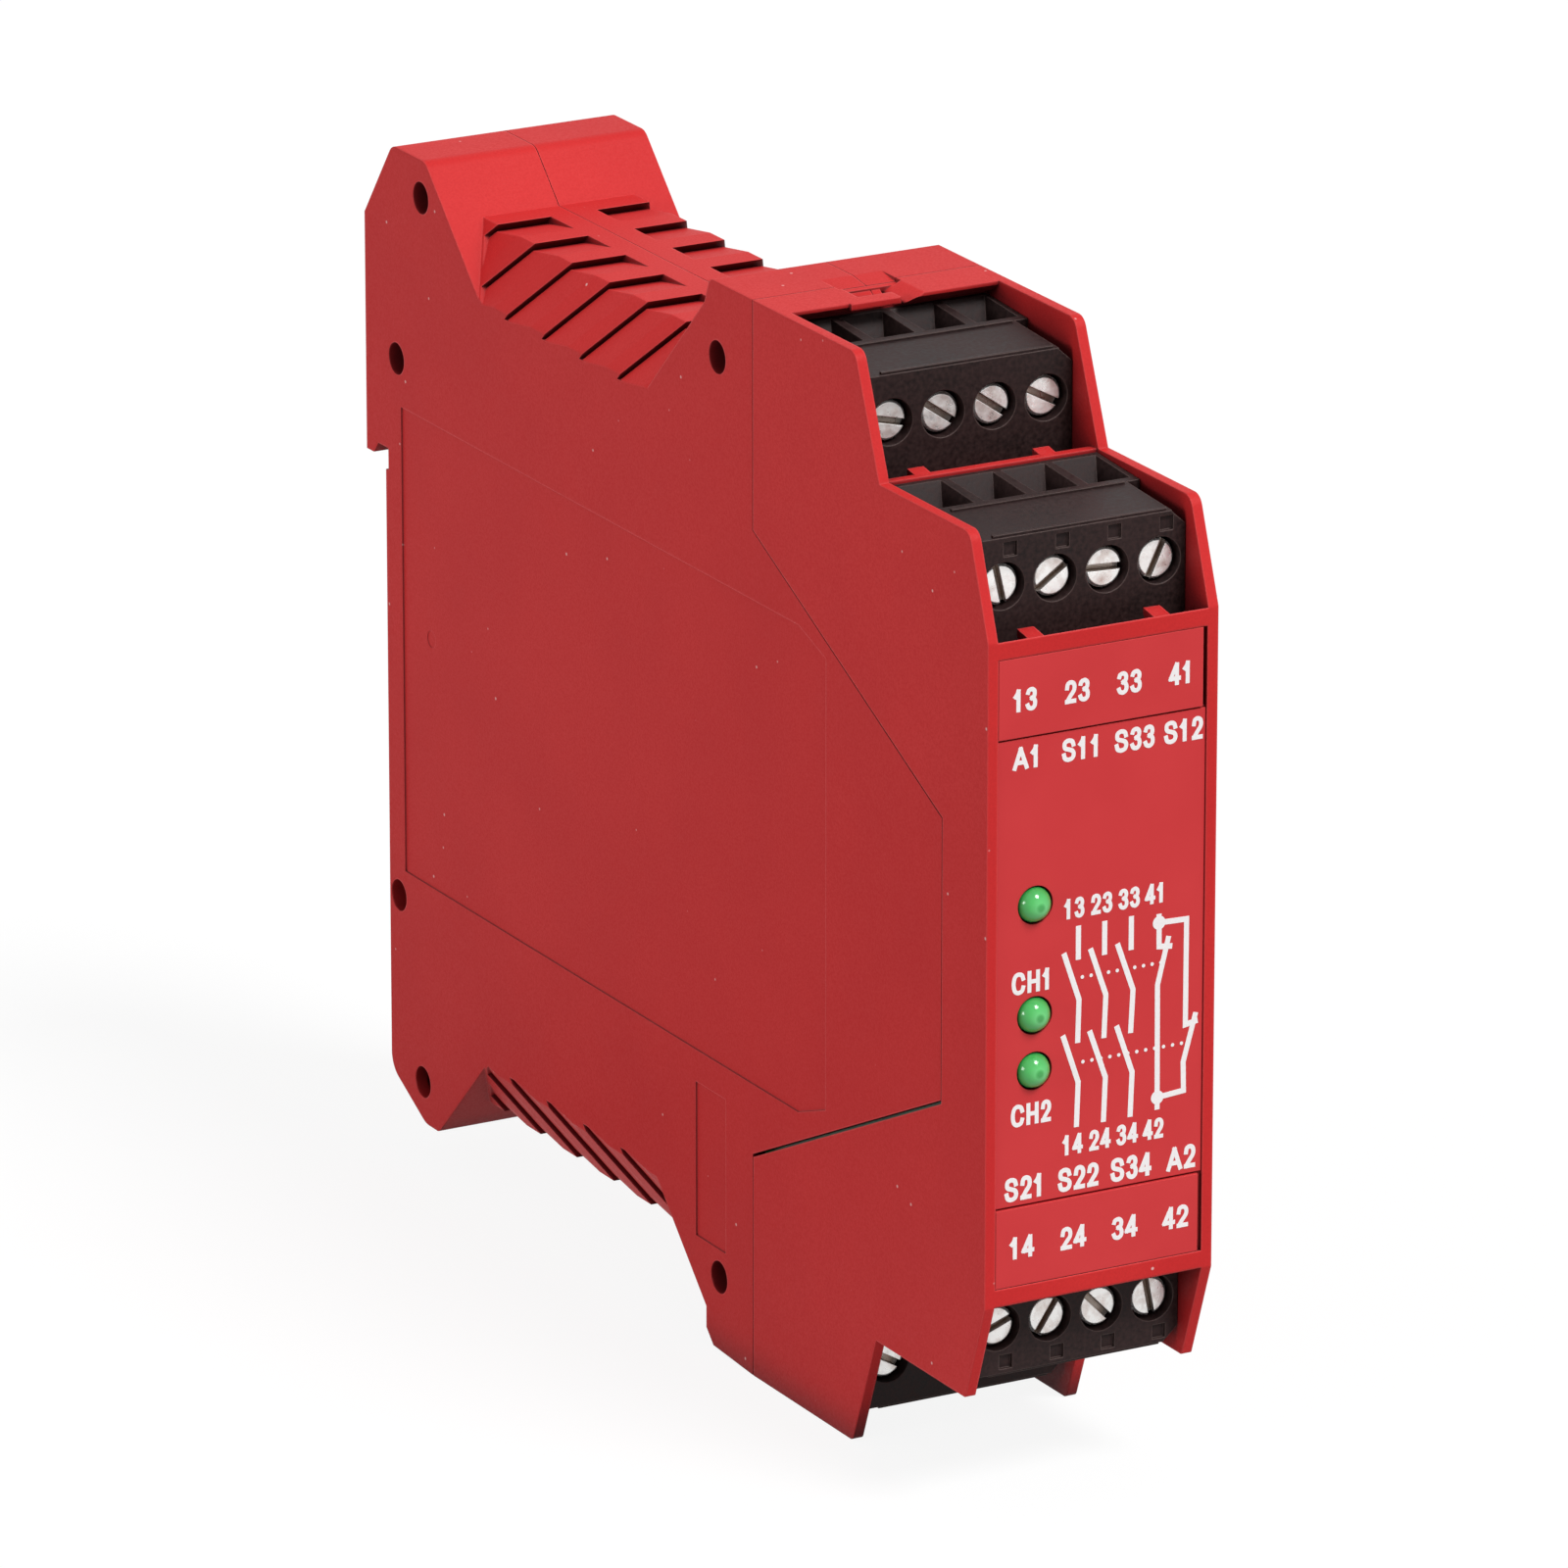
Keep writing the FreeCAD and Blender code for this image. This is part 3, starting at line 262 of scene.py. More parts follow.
def platedMetal(name, recipe):
    material, tree, shader = newMaterial(name)
    fine = noise(tree, recipe["grain"], 4.0, 0.6, recipe.get("stretch"))
    stain = noise(tree, recipe["stain"], 3.0, 0.6)
    normal, edge = roundedEdgesWithHighlight(tree, recipe["edge"])
    stains = fit(tree, stain, 0.45, 0.7, 0.0, 1.0)
    colour = mixColours(tree, stains, recipe["colour"], recipe["shade"])
    # painted highlight: the metal turns paler on every rounded edge
    colour = mixColours(tree, edge, colour, recipe["edgeTintAndHighlight"])
    # painted shade: a dark brown in the screw's own slot, where the occlusion reaches
    if "paintedSlotShade" in recipe:
        colour = mixColours(tree, occlusionShade(tree, recipe["reach"]), colour, recipe["paintedSlotShade"])
    link(tree, colour, shader.inputs["Base Color"])
    link(tree, fit(tree, fine, 0.3, 0.7, *recipe["roughness"]), shader.inputs["Roughness"])
    relieved = bump(tree, fine, recipe["bump"], relief["metal"], normal)
    link(tree, relieved, shader.inputs["Normal"])
    shader.inputs["Metallic"].default_value = recipe.get("metallic", 1.0)
    return material


metals = {
    "screw_steel": dict(
        colour=(0.98, 0.97, 0.95), shade=(0.66, 0.56, 0.52), edgeTintAndHighlight=(0.97, 0.96, 0.95),
        grain=1600, stain=620, edge=0.00010, roughness=(0.22, 0.44), bump=0.6,
        paintedSlotShade=(0.16, 0.09, 0.05), reach=0.0008, metallic=0.7),
    "cage_steel": dict(
        colour=(0.62, 0.61, 0.58), shade=(0.5, 0.49, 0.46), edgeTintAndHighlight=(0.8, 0.79, 0.76),
        grain=1500, stain=400, edge=0.00015, roughness=(0.3, 0.5), bump=0.4,
        stretch=(1, 1, 6)),
    "contact_tin": dict(
        colour=(0.74, 0.73, 0.69), shade=(0.62, 0.61, 0.57), edgeTintAndHighlight=(0.85, 0.84, 0.8),
        grain=1800, stain=500, edge=0.0001, roughness=(0.25, 0.42), bump=0.3),
    "spring_steel": dict(
        colour=(0.45, 0.44, 0.43), shade=(0.35, 0.34, 0.33), edgeTintAndHighlight=(0.6, 0.6, 0.58),
        grain=2500, stain=800, edge=0.0001, roughness=(0.25, 0.4), bump=0.3),
    "lead_tin": dict(
        colour=(0.75, 0.75, 0.73), shade=(0.62, 0.62, 0.6), edgeTintAndHighlight=(0.85, 0.85, 0.83),
        grain=2500, stain=900, edge=0.00008, roughness=(0.22, 0.35), bump=0.2),
    "capacitor_can": dict(
        colour=(0.10, 0.12, 0.34), shade=(0.07, 0.09, 0.28), edgeTintAndHighlight=(0.2, 0.24, 0.5),
        grain=900, stain=200, edge=0.0004, roughness=(0.35, 0.5), bump=0.1),
}


board = dict(
    colour=(0.015, 0.12, 0.045), shade=(0.02, 0.19, 0.07), edgeTintAndHighlight=(0.35, 0.3, 0.14),
    cloud=90, weave=1500, stretch=(1, 1, 3), edge=0.0001, roughness=0.32, bump=0.2)


def printedBoard():
    material, tree, shader = newMaterial("board_green")
    cloud = noise(tree, board["cloud"], 2.0)
    weave = noise(tree, board["weave"], 2.0, 0.5, board["stretch"])
    normal, edge = roundedEdgesWithHighlight(tree, board["edge"])
    patches = fit(tree, cloud, 0.45, 0.55, 0.0, 1.0)
    colour = mixColours(tree, patches, board["colour"], board["shade"])
    # the edges turn tan and paler, partly the board's cut core and partly a painted highlight
    colour = mixColours(tree, edge, colour, board["edgeTintAndHighlight"])
    link(tree, colour, shader.inputs["Base Color"])
    shader.inputs["Roughness"].default_value = board["roughness"]
    relieved = bump(tree, weave, board["bump"], relief["plastic"], normal)
    link(tree, relieved, shader.inputs["Normal"])
    return material


lensColourAndLight = dict(
    cloud=700, cloudColour=(0.05, 0.50, 0.10), cloudShare=0.25, roughness=(0.10, 0.18),
    depth=0.25, radius=(0.0004, 0.0012, 0.0005), scale=0.8,
    # a dark die at the centre, a painted highlight ring around it, and painted shade darkening
    # towards the rim
    rings=[  # share of the lens's radius, colour
        (0.0, (0.06, 0.36, 0.09)), (0.12, (0.06, 0.38, 0.09)), (0.26, (0.15, 0.60, 0.20)),
        (0.50, (0.08, 0.49, 0.12)), (0.78, (0.045, 0.36, 0.08)), (1.0, (0.010, 0.12, 0.03))])


def lensWithPaintedLight():
    material, tree, shader = newMaterial("led_green")
    cloud = noise(tree, lensColourAndLight["cloud"], 2.0)
    reach = tree.nodes.new("ShaderNodeAttribute")
    reach.attribute_name = "fromAxis"
    # the rings paint the lens's highlight and its rim shade into the colour
    glow = bands(tree, reach.outputs["Fac"], lensColourAndLight["rings"])
    veil = fit(tree, cloud, 0.3, 0.7, 0.0, lensColourAndLight["cloudShare"])
    link(tree, mixColours(tree, veil, glow, lensColourAndLight["cloudColour"]), shader.inputs["Base Color"])
    link(tree, fit(tree, cloud, 0.3, 0.7, *lensColourAndLight["roughness"]), shader.inputs["Roughness"])
    shader.inputs["Subsurface Weight"].default_value = lensColourAndLight["depth"]
    shader.inputs["Subsurface Radius"].default_value = lensColourAndLight["radius"]
    shader.inputs["Subsurface Scale"].default_value = lensColourAndLight["scale"]
    return material


ink = dict(colour=(0.86, 0.82, 0.82), shade=(0.95, 0.92, 0.92), speck=6000, roughness=(0.4, 0.55))


def printInk():
    material, tree, shader = newMaterial("print_white")
    speck = noise(tree, ink["speck"], 3.0)
    link(tree, mixColours(tree, speck, ink["colour"], ink["shade"]), shader.inputs["Base Color"])
    link(tree, fit(tree, speck, 0.3, 0.7, *ink["roughness"]), shader.inputs["Roughness"])
    return material


finishes = {}
for slot, recipe in plastics.items():
    finishes[slot] = mouldedPlastic(slot, recipe)
for slot, recipe in metals.items():
    finishes[slot] = platedMetal(slot, recipe)
finishes["board_green"] = printedBoard()
finishes["led_green"] = lensWithPaintedLight()
finishes["print_white"] = printInk()

slotOf = {entry["node"]: entry["material_slot"] for entry in frame["record"]["subparts"]}
for name, node in nodes.items():
    node.data.materials.clear()
    node.data.materials.append(finishes[slotOf[name]])
print("finishes set:", len(finishes))


def newPiece(name, mesh, body, slot):
    piece = bpy.data.objects.new(name, mesh)
    bpy.context.scene.collection.objects.link(piece)
    mesh.materials.clear()
    mesh.materials.append(finishes[slot])
    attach(piece, body)
    return piece


def standFor(name, node, mesh):
    # a finer mesh in the place of one CAD node, on the same body
    piece = newPiece(name, mesh, nodes[node]["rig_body"], slotOf[node])
    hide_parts(node)
    return piece


def newTree(name, inputs):
    # a geometry node group whose sizes are named inputs, in metres unless the name says otherwise
    tree = bpy.data.node_groups.new(name, "GeometryNodeTree")
    tree.interface.new_socket("Geometry", in_out="OUTPUT", socket_type="NodeSocketGeometry")
    kinds = {float: "NodeSocketFloat", int: "NodeSocketInt", Vector: "NodeSocketVector",
             bpy.types.Material: "NodeSocketMaterial"}
    for label, value in inputs.items():
        socket = tree.interface.new_socket(label, in_out="INPUT", socket_type=kinds[type(value)])
        socket.default_value = value
    return tree, tree.nodes.new("NodeGroupInput"), tree.nodes.new("NodeGroupOutput")


def use(tree, kind, values=None, **settings):
    # one node of a tree, its inputs linked or set by name
    node = tree.nodes.new(kind)
    for key, value in settings.items():
        setattr(node, key, value)
    for key, value in (values or {}).items():
        socket = node.inputs[key]
        if isinstance(value, bpy.types.NodeSocket):
            tree.links.new(value, socket)
        else:
            socket.default_value = value
    return node


def calc(tree, operation, first, second):
    return use(tree, "ShaderNodeMath", {0: first, 1: second}, operation=operation).outputs[0]


def at(tree, x=0.0, y=0.0, z=0.0):
    return use(tree, "ShaderNodeCombineXYZ", {"X": x, "Y": y, "Z": z}).outputs[0]


def finishTree(tree, output, geometry, material):
    solid = use(tree, "GeometryNodeRealizeInstances", {"Geometry": geometry}).outputs[0]
    painted = use(tree, "GeometryNodeSetMaterial", {
        "Geometry": solid, "Material": material}).outputs[0]
    link(tree, painted, output.inputs["Geometry"])


def grow(tree, values):
    # the mesh that a tree gives for one set of inputs
    carrier = bpy.data.objects.new("carrier", bpy.data.meshes.new("carrier"))
    bpy.context.scene.collection.objects.link(carrier)
    modifier = carrier.modifiers.new("tree", "NODES")
    modifier.node_group = tree
    for item in tree.interface.items_tree:
        if item.in_out == "INPUT" and item.name in values:
            value = values[item.name]
            modifier[item.identifier] = tuple(value) if isinstance(value, Vector) else value
    bpy.context.view_layer.update()
    done = carrier.evaluated_get(bpy.context.evaluated_depsgraph_get())
    mesh = bpy.data.meshes.new_from_object(done)
    bpy.data.objects.remove(carrier)
    return mesh


def cleaned(mesh):
    shape = bmesh.new()
    shape.from_mesh(mesh)
    bmesh.ops.remove_doubles(shape, verts=shape.verts, dist=1e-7)
    bmesh.ops.recalc_face_normals(shape, faces=shape.faces)
    shape.to_mesh(mesh)
    shape.free()
    return mesh


screw = dict(
    headChamfer=0.00022, slotWidth=0.00062, slotDepth=0.00078, headLength=0.0017,
    coreRadius=0.00098, crestRadius=0.00122, pitch=0.0007, sides=56, coreSides=32,
    overlap=0.0002, turnSteps=20, threadSides=6,
    angles=dict(upper_rear=(-14, -35, -35, -28), upper_front=(-77, 34, -3, 64),
                lower_front=(20, 56, -46, -79), lower_rear=(-30, 15, 70, -55)),
)


def screwTree():
    # a slotted clamp screw, its head's top at the origin, looking along +Z, its thread wound below
    tree, inputs, output = newTree("clampScrew", {
        "Head Radius": 0.0018, "Head Length": 0.0017, "Chamfer": 0.0002, "Slot Width": 0.0006,
        "Slot Depth": 0.0008, "Slot Angle": 0.0, "Core Radius": 0.001, "Crest Radius": 0.0012,
        "Length": 0.008, "Pitch": 0.0007, "Sides": 48, "Core Sides": 32, "Overlap": 0.0002,
        "Turn Steps": 20, "Thread Sides": 6, "Place": Vector((0, 0, 0)),
        "Metal": finishes["screw_steel"]})
    give = inputs.outputs
    bodyLength = calc(tree, "SUBTRACT", give["Head Length"], give["Chamfer"])
    disc = use(tree, "GeometryNodeMeshCylinder", {
        "Vertices": give["Sides"], "Radius": give["Head Radius"], "Depth": bodyLength})
    discAt = calc(tree, "MULTIPLY", calc(tree, "ADD", give["Head Length"], give["Chamfer"]), -0.5)
    disc = use(tree, "GeometryNodeTransform", {
        "Geometry": disc.outputs["Mesh"], "Translation": at(tree, z=discAt)}).outputs[0]
    crown = use(tree, "GeometryNodeMeshCone", {
        "Vertices": give["Sides"], "Depth": give["Chamfer"], "Radius Bottom": give["Head Radius"],
        "Radius Top": calc(tree, "SUBTRACT", give["Head Radius"], give["Chamfer"])})
    crown = use(tree, "GeometryNodeTransform", {
        "Geometry": crown.outputs["Mesh"],
        "Translation": at(tree, z=calc(tree, "MULTIPLY", give["Chamfer"], -1.0))}).outputs[0]
    threadLength = calc(tree, "SUBTRACT", give["Length"], give["Head Length"])
    core = use(tree, "GeometryNodeMeshCylinder", {
        "Vertices": give["Core Sides"], "Radius": give["Core Radius"],
        "Depth": calc(tree, "ADD", threadLength, give["Overlap"])})
    coreAt = calc(tree, "MULTIPLY", calc(tree, "ADD", give["Length"], give["Head Length"]), -0.5)
    core = use(tree, "GeometryNodeTransform", {
        "Geometry": core.outputs["Mesh"],
        "Translation": at(tree, z=calc(
            tree, "ADD", coreAt, calc(tree, "MULTIPLY", give["Overlap"], 0.5)))}).outputs[0]
    head = use(tree, "GeometryNodeMeshBoolean", operation="UNION", solver="EXACT")
    for part in (disc, crown, core):
        link(tree, part, head.inputs["Mesh 2"])
    cutter = use(tree, "GeometryNodeMeshCube", {"Size": at(
        tree, calc(tree, "MULTIPLY", give["Head Radius"], 3.0), give["Slot Width"],
        calc(tree, "MULTIPLY", give["Slot Depth"], 2.0))})
    cutter = use(tree, "GeometryNodeTransform", {
        "Geometry": cutter.outputs["Mesh"], "Rotation": at(tree, z=give["Slot Angle"])}).outputs[0]
    slotted = use(tree, "GeometryNodeMeshBoolean", {
        "Mesh 1": head.outputs["Mesh"], "Mesh 2": cutter}, operation="DIFFERENCE", solver="EXACT")
    turns = calc(tree, "DIVIDE", threadLength, give["Pitch"])
    spiral = use(tree, "GeometryNodeCurveSpiral", {
        "Resolution": give["Turn Steps"], "Rotations": turns, "Start Radius": give["Core Radius"],
        "End Radius": give["Core Radius"],
        "Height": calc(tree, "SUBTRACT", threadLength, give["Pitch"])})
    spiralAt = calc(tree, "SUBTRACT", calc(tree, "MULTIPLY", give["Pitch"], 0.5), give["Length"])
    spiral = use(tree, "GeometryNodeTransform", {
        "Geometry": spiral.outputs["Curve"], "Translation": at(tree, z=spiralAt)}).outputs[0]
    spiral = use(tree, "GeometryNodeSetCurveNormal", {"Curve": spiral}, mode="Z_UP").outputs[0]
    profile = use(tree, "GeometryNodeCurvePrimitiveCircle", {
        "Resolution": give["Thread Sides"],
        "Radius": calc(tree, "SUBTRACT", give["Crest Radius"], give["Core Radius"])})
    thread = use(tree, "GeometryNodeCurveToMesh", {
        "Curve": spiral, "Profile Curve": profile.outputs["Curve"], "Fill Caps": True}).outputs[0]
    joined = use(tree, "GeometryNodeJoinGeometry")
    link(tree, slotted.outputs["Mesh"], joined.inputs[0])
    link(tree, thread, joined.inputs[0])
    placed = use(tree, "GeometryNodeTransform", {
        "Geometry": joined.outputs[0], "Translation": give["Place"],
        "Rotation": (math.pi / 2, 0, 0)}).outputs[0]
    finishTree(tree, output, placed, give["Metal"])
    return tree


def makeScrews():
    tree = screwTree()
    for station, angles in screw["angles"].items():
        for i, angle in enumerate(angles):
            node = f"screw_{station}_{i + 1}"
            low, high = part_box(node)
            mesh = grow(tree, {
                "Head Radius": (high.x - low.x) / 2, "Head Length": screw["headLength"],
                "Chamfer": screw["headChamfer"], "Slot Width": screw["slotWidth"],
                "Slot Depth": screw["slotDepth"], "Slot Angle": math.radians(angle),
                "Core Radius": screw["coreRadius"], "Crest Radius": screw["crestRadius"],
                "Length": high.y - low.y, "Pitch": screw["pitch"], "Sides": screw["sides"],
                "Core Sides": screw["coreSides"], "Overlap": screw["overlap"],
                "Turn Steps": screw["turnSteps"], "Thread Sides": screw["threadSides"],
                "Place": Vector(((low.x + high.x) / 2, low.y, (low.z + high.z) / 2))})
            standFor(f"clamp_{node}", node, cleaned(mesh))


makeScrews()
print("screws made")


spring = dict(joint="foot_latch_pull", wireRadius=0.000225, turns=6.0, steps=24, wireSides=10)


def coilTree():
    # a wound wire that stands on its lower end and climbs along +Z
    tree, inputs, output = newTree("latchCoil", {
        "Coil Radius": 0.001, "Wire Radius": 0.0002, "Height": 0.01, "Turns": 6.0, "Steps": 24,
        "Wire Sides": 10, "Place": Vector((0, 0, 0)), "Metal": finishes["spring_steel"]})
    give = inputs.outputs
    path = use(tree, "GeometryNodeCurveSpiral", {
        "Resolution": give["Steps"], "Rotations": give["Turns"], "Height": give["Height"],
        "Start Radius": give["Coil Radius"], "End Radius": give["Coil Radius"]})
    path = use(tree, "GeometryNodeSetCurveNormal", {
        "Curve": path.outputs["Curve"]}, mode="Z_UP").outputs[0]
    wire = use(tree, "GeometryNodeCurvePrimitiveCircle", {
        "Resolution": give["Wire Sides"], "Radius": give["Wire Radius"]})
    coil = use(tree, "GeometryNodeCurveToMesh", {
        "Curve": path, "Profile Curve": wire.outputs["Curve"], "Fill Caps": True}).outputs[0]
    placed = use(tree, "GeometryNodeTransform", {
        "Geometry": coil, "Translation": give["Place"]}).outputs[0]
    finishTree(tree, output, placed, give["Metal"])
    return tree


def makeSpring():
    low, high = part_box("latch_spring")
    wire = spring["wireRadius"]
    mesh = grow(coilTree(), {
        "Coil Radius": (high.x - low.x) / 2 - wire, "Wire Radius": wire,
        "Height": high.z - low.z - 2 * wire, "Turns": spring["turns"], "Steps": spring["steps"],
        "Wire Sides": spring["wireSides"],
        "Place": Vector(((low.x + high.x) / 2, (low.y + high.y) / 2, low.z + wire))})
    piece = standFor("coil_latch_spring", "latch_spring", cleaned(mesh))
    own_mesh(piece)


makeSpring()
print("spring made")


lens = dict(bands=14, sides=40, flangeLength=0.001, radiusShare=0.865, backShare=0.9,
            shoulderShare=0.98, edge=0.0001)


def lathe(profile, sides, place):
    # a turned body along Y from (radius, y) points that start and end on the axis
    shape = bmesh.new()
    rings = []
    for radius, y in profile:
        if radius < 1e-9:
            rings.append([shape.verts.new((place[0], y, place[1]))])
            continue
        rings.append([shape.verts.new((
            place[0] + radius * math.cos(2 * math.pi * k / sides), y,
            place[1] + radius * math.sin(2 * math.pi * k / sides))) for k in range(sides)])
    for first, second in zip(rings, rings[1:]):
        for k in range(sides):
            n = (k + 1) % sides
            corners = [first[k % len(first)], first[n % len(first)],
                       second[n % len(second)], second[k % len(second)]]
            shape.faces.new(list(dict.fromkeys(corners)))
    bmesh.ops.recalc_face_normals(shape, faces=shape.faces)
    mesh = bpy.data.meshes.new("turned")
    shape.to_mesh(mesh)
    shape.free()
    mesh.polygons.foreach_set("use_smooth", [True] * len(mesh.polygons))
    widest = max(radius for radius, y in profile)
    share = mesh.attributes.new("fromAxis", "FLOAT", "POINT")
    share.data.foreach_set("value", [
        math.hypot(v.co.x - place[0], v.co.z - place[1]) / widest for v in mesh.vertices])
    return mesh


def makeLenses():
    for name in ("power", "channel_1", "channel_2"):
        low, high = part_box("led_" + name)
        flange = (high.x - low.x) / 2
        radius = flange * lens["radiusShare"]
        shoulder = high.y - lens["flangeLength"]
        edge = lens["edge"]
        profile = [(0, high.y), (flange * lens["backShare"], high.y), (flange, high.y - edge),
                   (flange, shoulder + edge), (flange * lens["shoulderShare"], shoulder),
                   (radius, shoulder), (radius, shoulder - edge)]
        for k in range(lens["bands"] + 1):
            turn = math.pi / 2 * k / lens["bands"]
            profile.append((radius * math.cos(turn), low.y + radius - radius * math.sin(turn)))
        profile[-1] = (0, low.y)
        place = ((low.x + high.x) / 2, (low.z + high.z) / 2)
        standFor("lens_" + name, "led_" + name, lathe(profile, lens["sides"], place))


makeLenses()
print("lenses made")


ridge = dict(width=0.00036, rise=0.00030, sink=0.00010, places=(0.0004, 0.0074), sideGap=0.0004,
             topRise=0.00095, topLength=0.015, endBevel=0.0013)


def ridgeTree():
    # low moulded ribs across a terminal block's top, a copy at each point of a line
    tree, inputs, output = newTree("topRibs", {
        "Count": 2, "Start": Vector((0, 0, 0)), "Step": Vector((0, 0, 0)),
        "Size": Vector((0.02, 0.0003, 0.0002)), "Plastic": finishes["terminal_black"]})
    give = inputs.outputs
    line = use(tree, "GeometryNodeMeshLine", {
        "Count": give["Count"], "Start Location": give["Start"], "Offset": give["Step"]})
    rib = use(tree, "GeometryNodeMeshCube", {"Size": give["Size"]})
    copies = use(tree, "GeometryNodeInstanceOnPoints", {
        "Points": line.outputs["Mesh"], "Instance": rib.outputs["Mesh"]})
    finishTree(tree, output, copies.outputs["Instances"], give["Plastic"])
    return tree


def makeRidges():
    tree = ridgeTree()
    for station in screw["angles"]:
        low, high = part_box("terminal_block_" + station)
        up = 1 if station.startswith("upper") else -1
        rise = ridge["topRise"] / ridge["topLength"]  # the block's top climbs towards the rail
        front = (high.z if up > 0 else low.z) - up * ridge["topRise"]
        width = high.x - low.x - 2 * (ridge["sideGap"] + ridge["endBevel"])
        first, last = ridge["places"]
        mesh = grow(tree, {
            "Count": 2,
            "Start": Vector(((low.x + high.x) / 2, low.y + first, front + up * first * rise)),
            "Step": Vector((0, last - first, up * (last - first) * rise)),
            "Size": Vector((width, ridge["width"], ridge["rise"] + ridge["sink"]))})
        newPiece("ribs_" + station, cleaned(mesh), "housing", "terminal_black")


makeRidges()
print("ribs made")


printing = dict(  # millimetres
    face=-110.55, stripFace=-110.70, stripFrom=21, thickness=0.02, weight=0.19, layer=0.001,
    strokeEnds=0.45, tightBend=0.4, dotSides=24, dottedSides=10,
    words=[  # text, middle X, middle Z, cap height, width
        ("13", -7.62, 24.4, 2.05, 2.5), ("23", -2.54, 24.4, 2.05, 2.6),
        ("33", 2.54, 24.4, 2.05, 2.6), ("41", 7.62, 24.4, 2.05, 2.5),
        ("A1", -7.3, 19.2, 2.05, 2.9), ("S11", -2.0, 19.2, 2.05, 4.0),
        ("S33", 3.2, 19.2, 2.05, 4.1), ("S12", 8.0, 19.2, 2.05, 4.0),
        ("13", -2.6, 5.0, 1.85, 2.15), ("23", 0.1, 5.0, 1.85, 2.25),
        ("33", 2.8, 5.0, 1.85, 2.25), ("41", 5.4, 5.0, 1.85, 2.15),
        ("CH1", -6.7, -0.9, 2.0, 4.1), ("CH2", -6.7, -12.8, 2.0, 4.1),
        ("14", -2.6, -16.3, 1.85, 2.15), ("24", 0.1, -16.3, 1.85, 2.25),
        ("34", 2.8, -16.3, 1.85, 2.25), ("42", 5.4, -16.3, 1.85, 2.15),
        ("S21", -7.3, -19.4, 2.15, 4.1), ("S22", -2.0, -19.4, 2.15, 4.2),
        ("S34", 3.2, -19.4, 2.15, 4.2), ("A2", 8.2, -19.4, 2.15, 3.0),
        ("14", -7.62, -24.7, 2.05, 2.6), ("24", -2.54, -24.7, 2.05, 2.7),
        ("34", 2.54, -24.7, 2.05, 2.7), ("42", 7.62, -24.7, 2.05, 2.7)],
)

diagram = dict(
    width=0.50, dot=0.62, dotted=0.17, dotPitch=0.86,
    strokes=[
        [(-2.16, 3.35), (-2.16, 0.3)], [(0.42, 3.35), (0.42, 0.3)], [(3.04, 3.35), (3.04, 0.3)],
        [(-3.58, 1.1), (-2.06, -3.3), (-2.16, -7.2)],
        [(-0.98, 1.1), (0.58, -3.3), (0.42, -7.2)],
        [(1.68, 1.1), (3.26, -3.3), (3.06, -7.2)],
        [(-3.62, -6.3), (-2.08, -10.75), (-2.22, -14.8)],
        [(-1.0, -6.3), (0.6, -10.75), (0.44, -14.8)],
        [(1.66, -6.3), (3.24, -10.75), (3.08, -14.8)],
        [(5.76, 3.1), (5.8, 0.15), (7.1, 0.0)], [(6.75, 0.95), (5.68, -3.3), (5.76, -14.6)],
        [(5.78, 2.3), (8.5, 2.2), (8.48, -7.35), (9.7, -7.15)],
        [(9.5, -6.4), (8.3, -10.7), (8.36, -13.3), (5.76, -13.5)]],
    dots=[(5.78, 2.3), (5.76, -13.5)],
    dottedLines=[((-1.75, -1.32), (5.99, -1.32)), ((-1.63, -8.98), (8.11, -8.98))],
)


letters = {  # advance, left edge and width in cap heights, then the strokes in a unit box
    "1": (0.74, 0.08, 0.44, [
        [(0.0, 0.72), (0.55, 0.86), (0.80, 1.0)], [(0.84, 1.0), (0.84, 0.0)]]),
    "2": (0.78, 0.05, 0.68, [
        [(0.03, 0.72), (0.12, 0.92), (0.36, 1.0), (0.64, 1.0), (0.9, 0.92), (1.0, 0.74),
         (0.9, 0.54), (0.5, 0.3), (0.08, 0.02)], [(0.0, 0.0), (1.0, 0.0)]]),
    "3": (0.78, 0.05, 0.68, [
        [(0.06, 0.84), (0.16, 0.95), (0.40, 1.0), (0.66, 1.0), (0.9, 0.9), (0.94, 0.74),
         (0.82, 0.6), (0.56, 0.54)],
        [(0.56, 0.54), (0.84, 0.48), (1.0, 0.3), (0.92, 0.1), (0.66, 0.0), (0.38, 0.0),
         (0.14, 0.06), (0.02, 0.18)]]),
    "4": (0.78, 0.02, 0.74, [
        [(0.68, 1.0), (0.0, 0.26)], [(0.0, 0.26), (1.0, 0.26)], [(0.74, 1.0), (0.74, 0.0)]]),
    "A": (0.98, 0.03, 0.92, [
        [(0.0, 0.0), (0.5, 1.0)], [(0.5, 1.0), (1.0, 0.0)], [(0.18, 0.28), (0.82, 0.28)]]),
    "C": (0.98, 0.06, 0.86, [
        [(1.0, 0.74), (0.88, 0.93), (0.62, 1.0), (0.38, 1.0), (0.12, 0.88), (0.0, 0.62),
         (0.0, 0.38), (0.12, 0.12), (0.38, 0.0), (0.62, 0.0), (0.88, 0.07), (1.0, 0.26)]]),
    "H": (0.98, 0.09, 0.80, [
        [(0.0, 0.0), (0.0, 1.0)], [(1.0, 0.0), (1.0, 1.0)], [(0.0, 0.5), (1.0, 0.5)]]),
    "S": (0.92, 0.06, 0.80, [
        [(0.96, 0.76), (0.86, 0.93), (0.62, 1.0), (0.36, 1.0), (0.1, 0.92), (0.04, 0.74),
         (0.16, 0.6), (0.5, 0.53), (0.86, 0.44), (1.0, 0.27), (0.9, 0.08), (0.64, 0.0),
         (0.36, 0.0), (0.1, 0.08), (0.0, 0.27)]]),
}


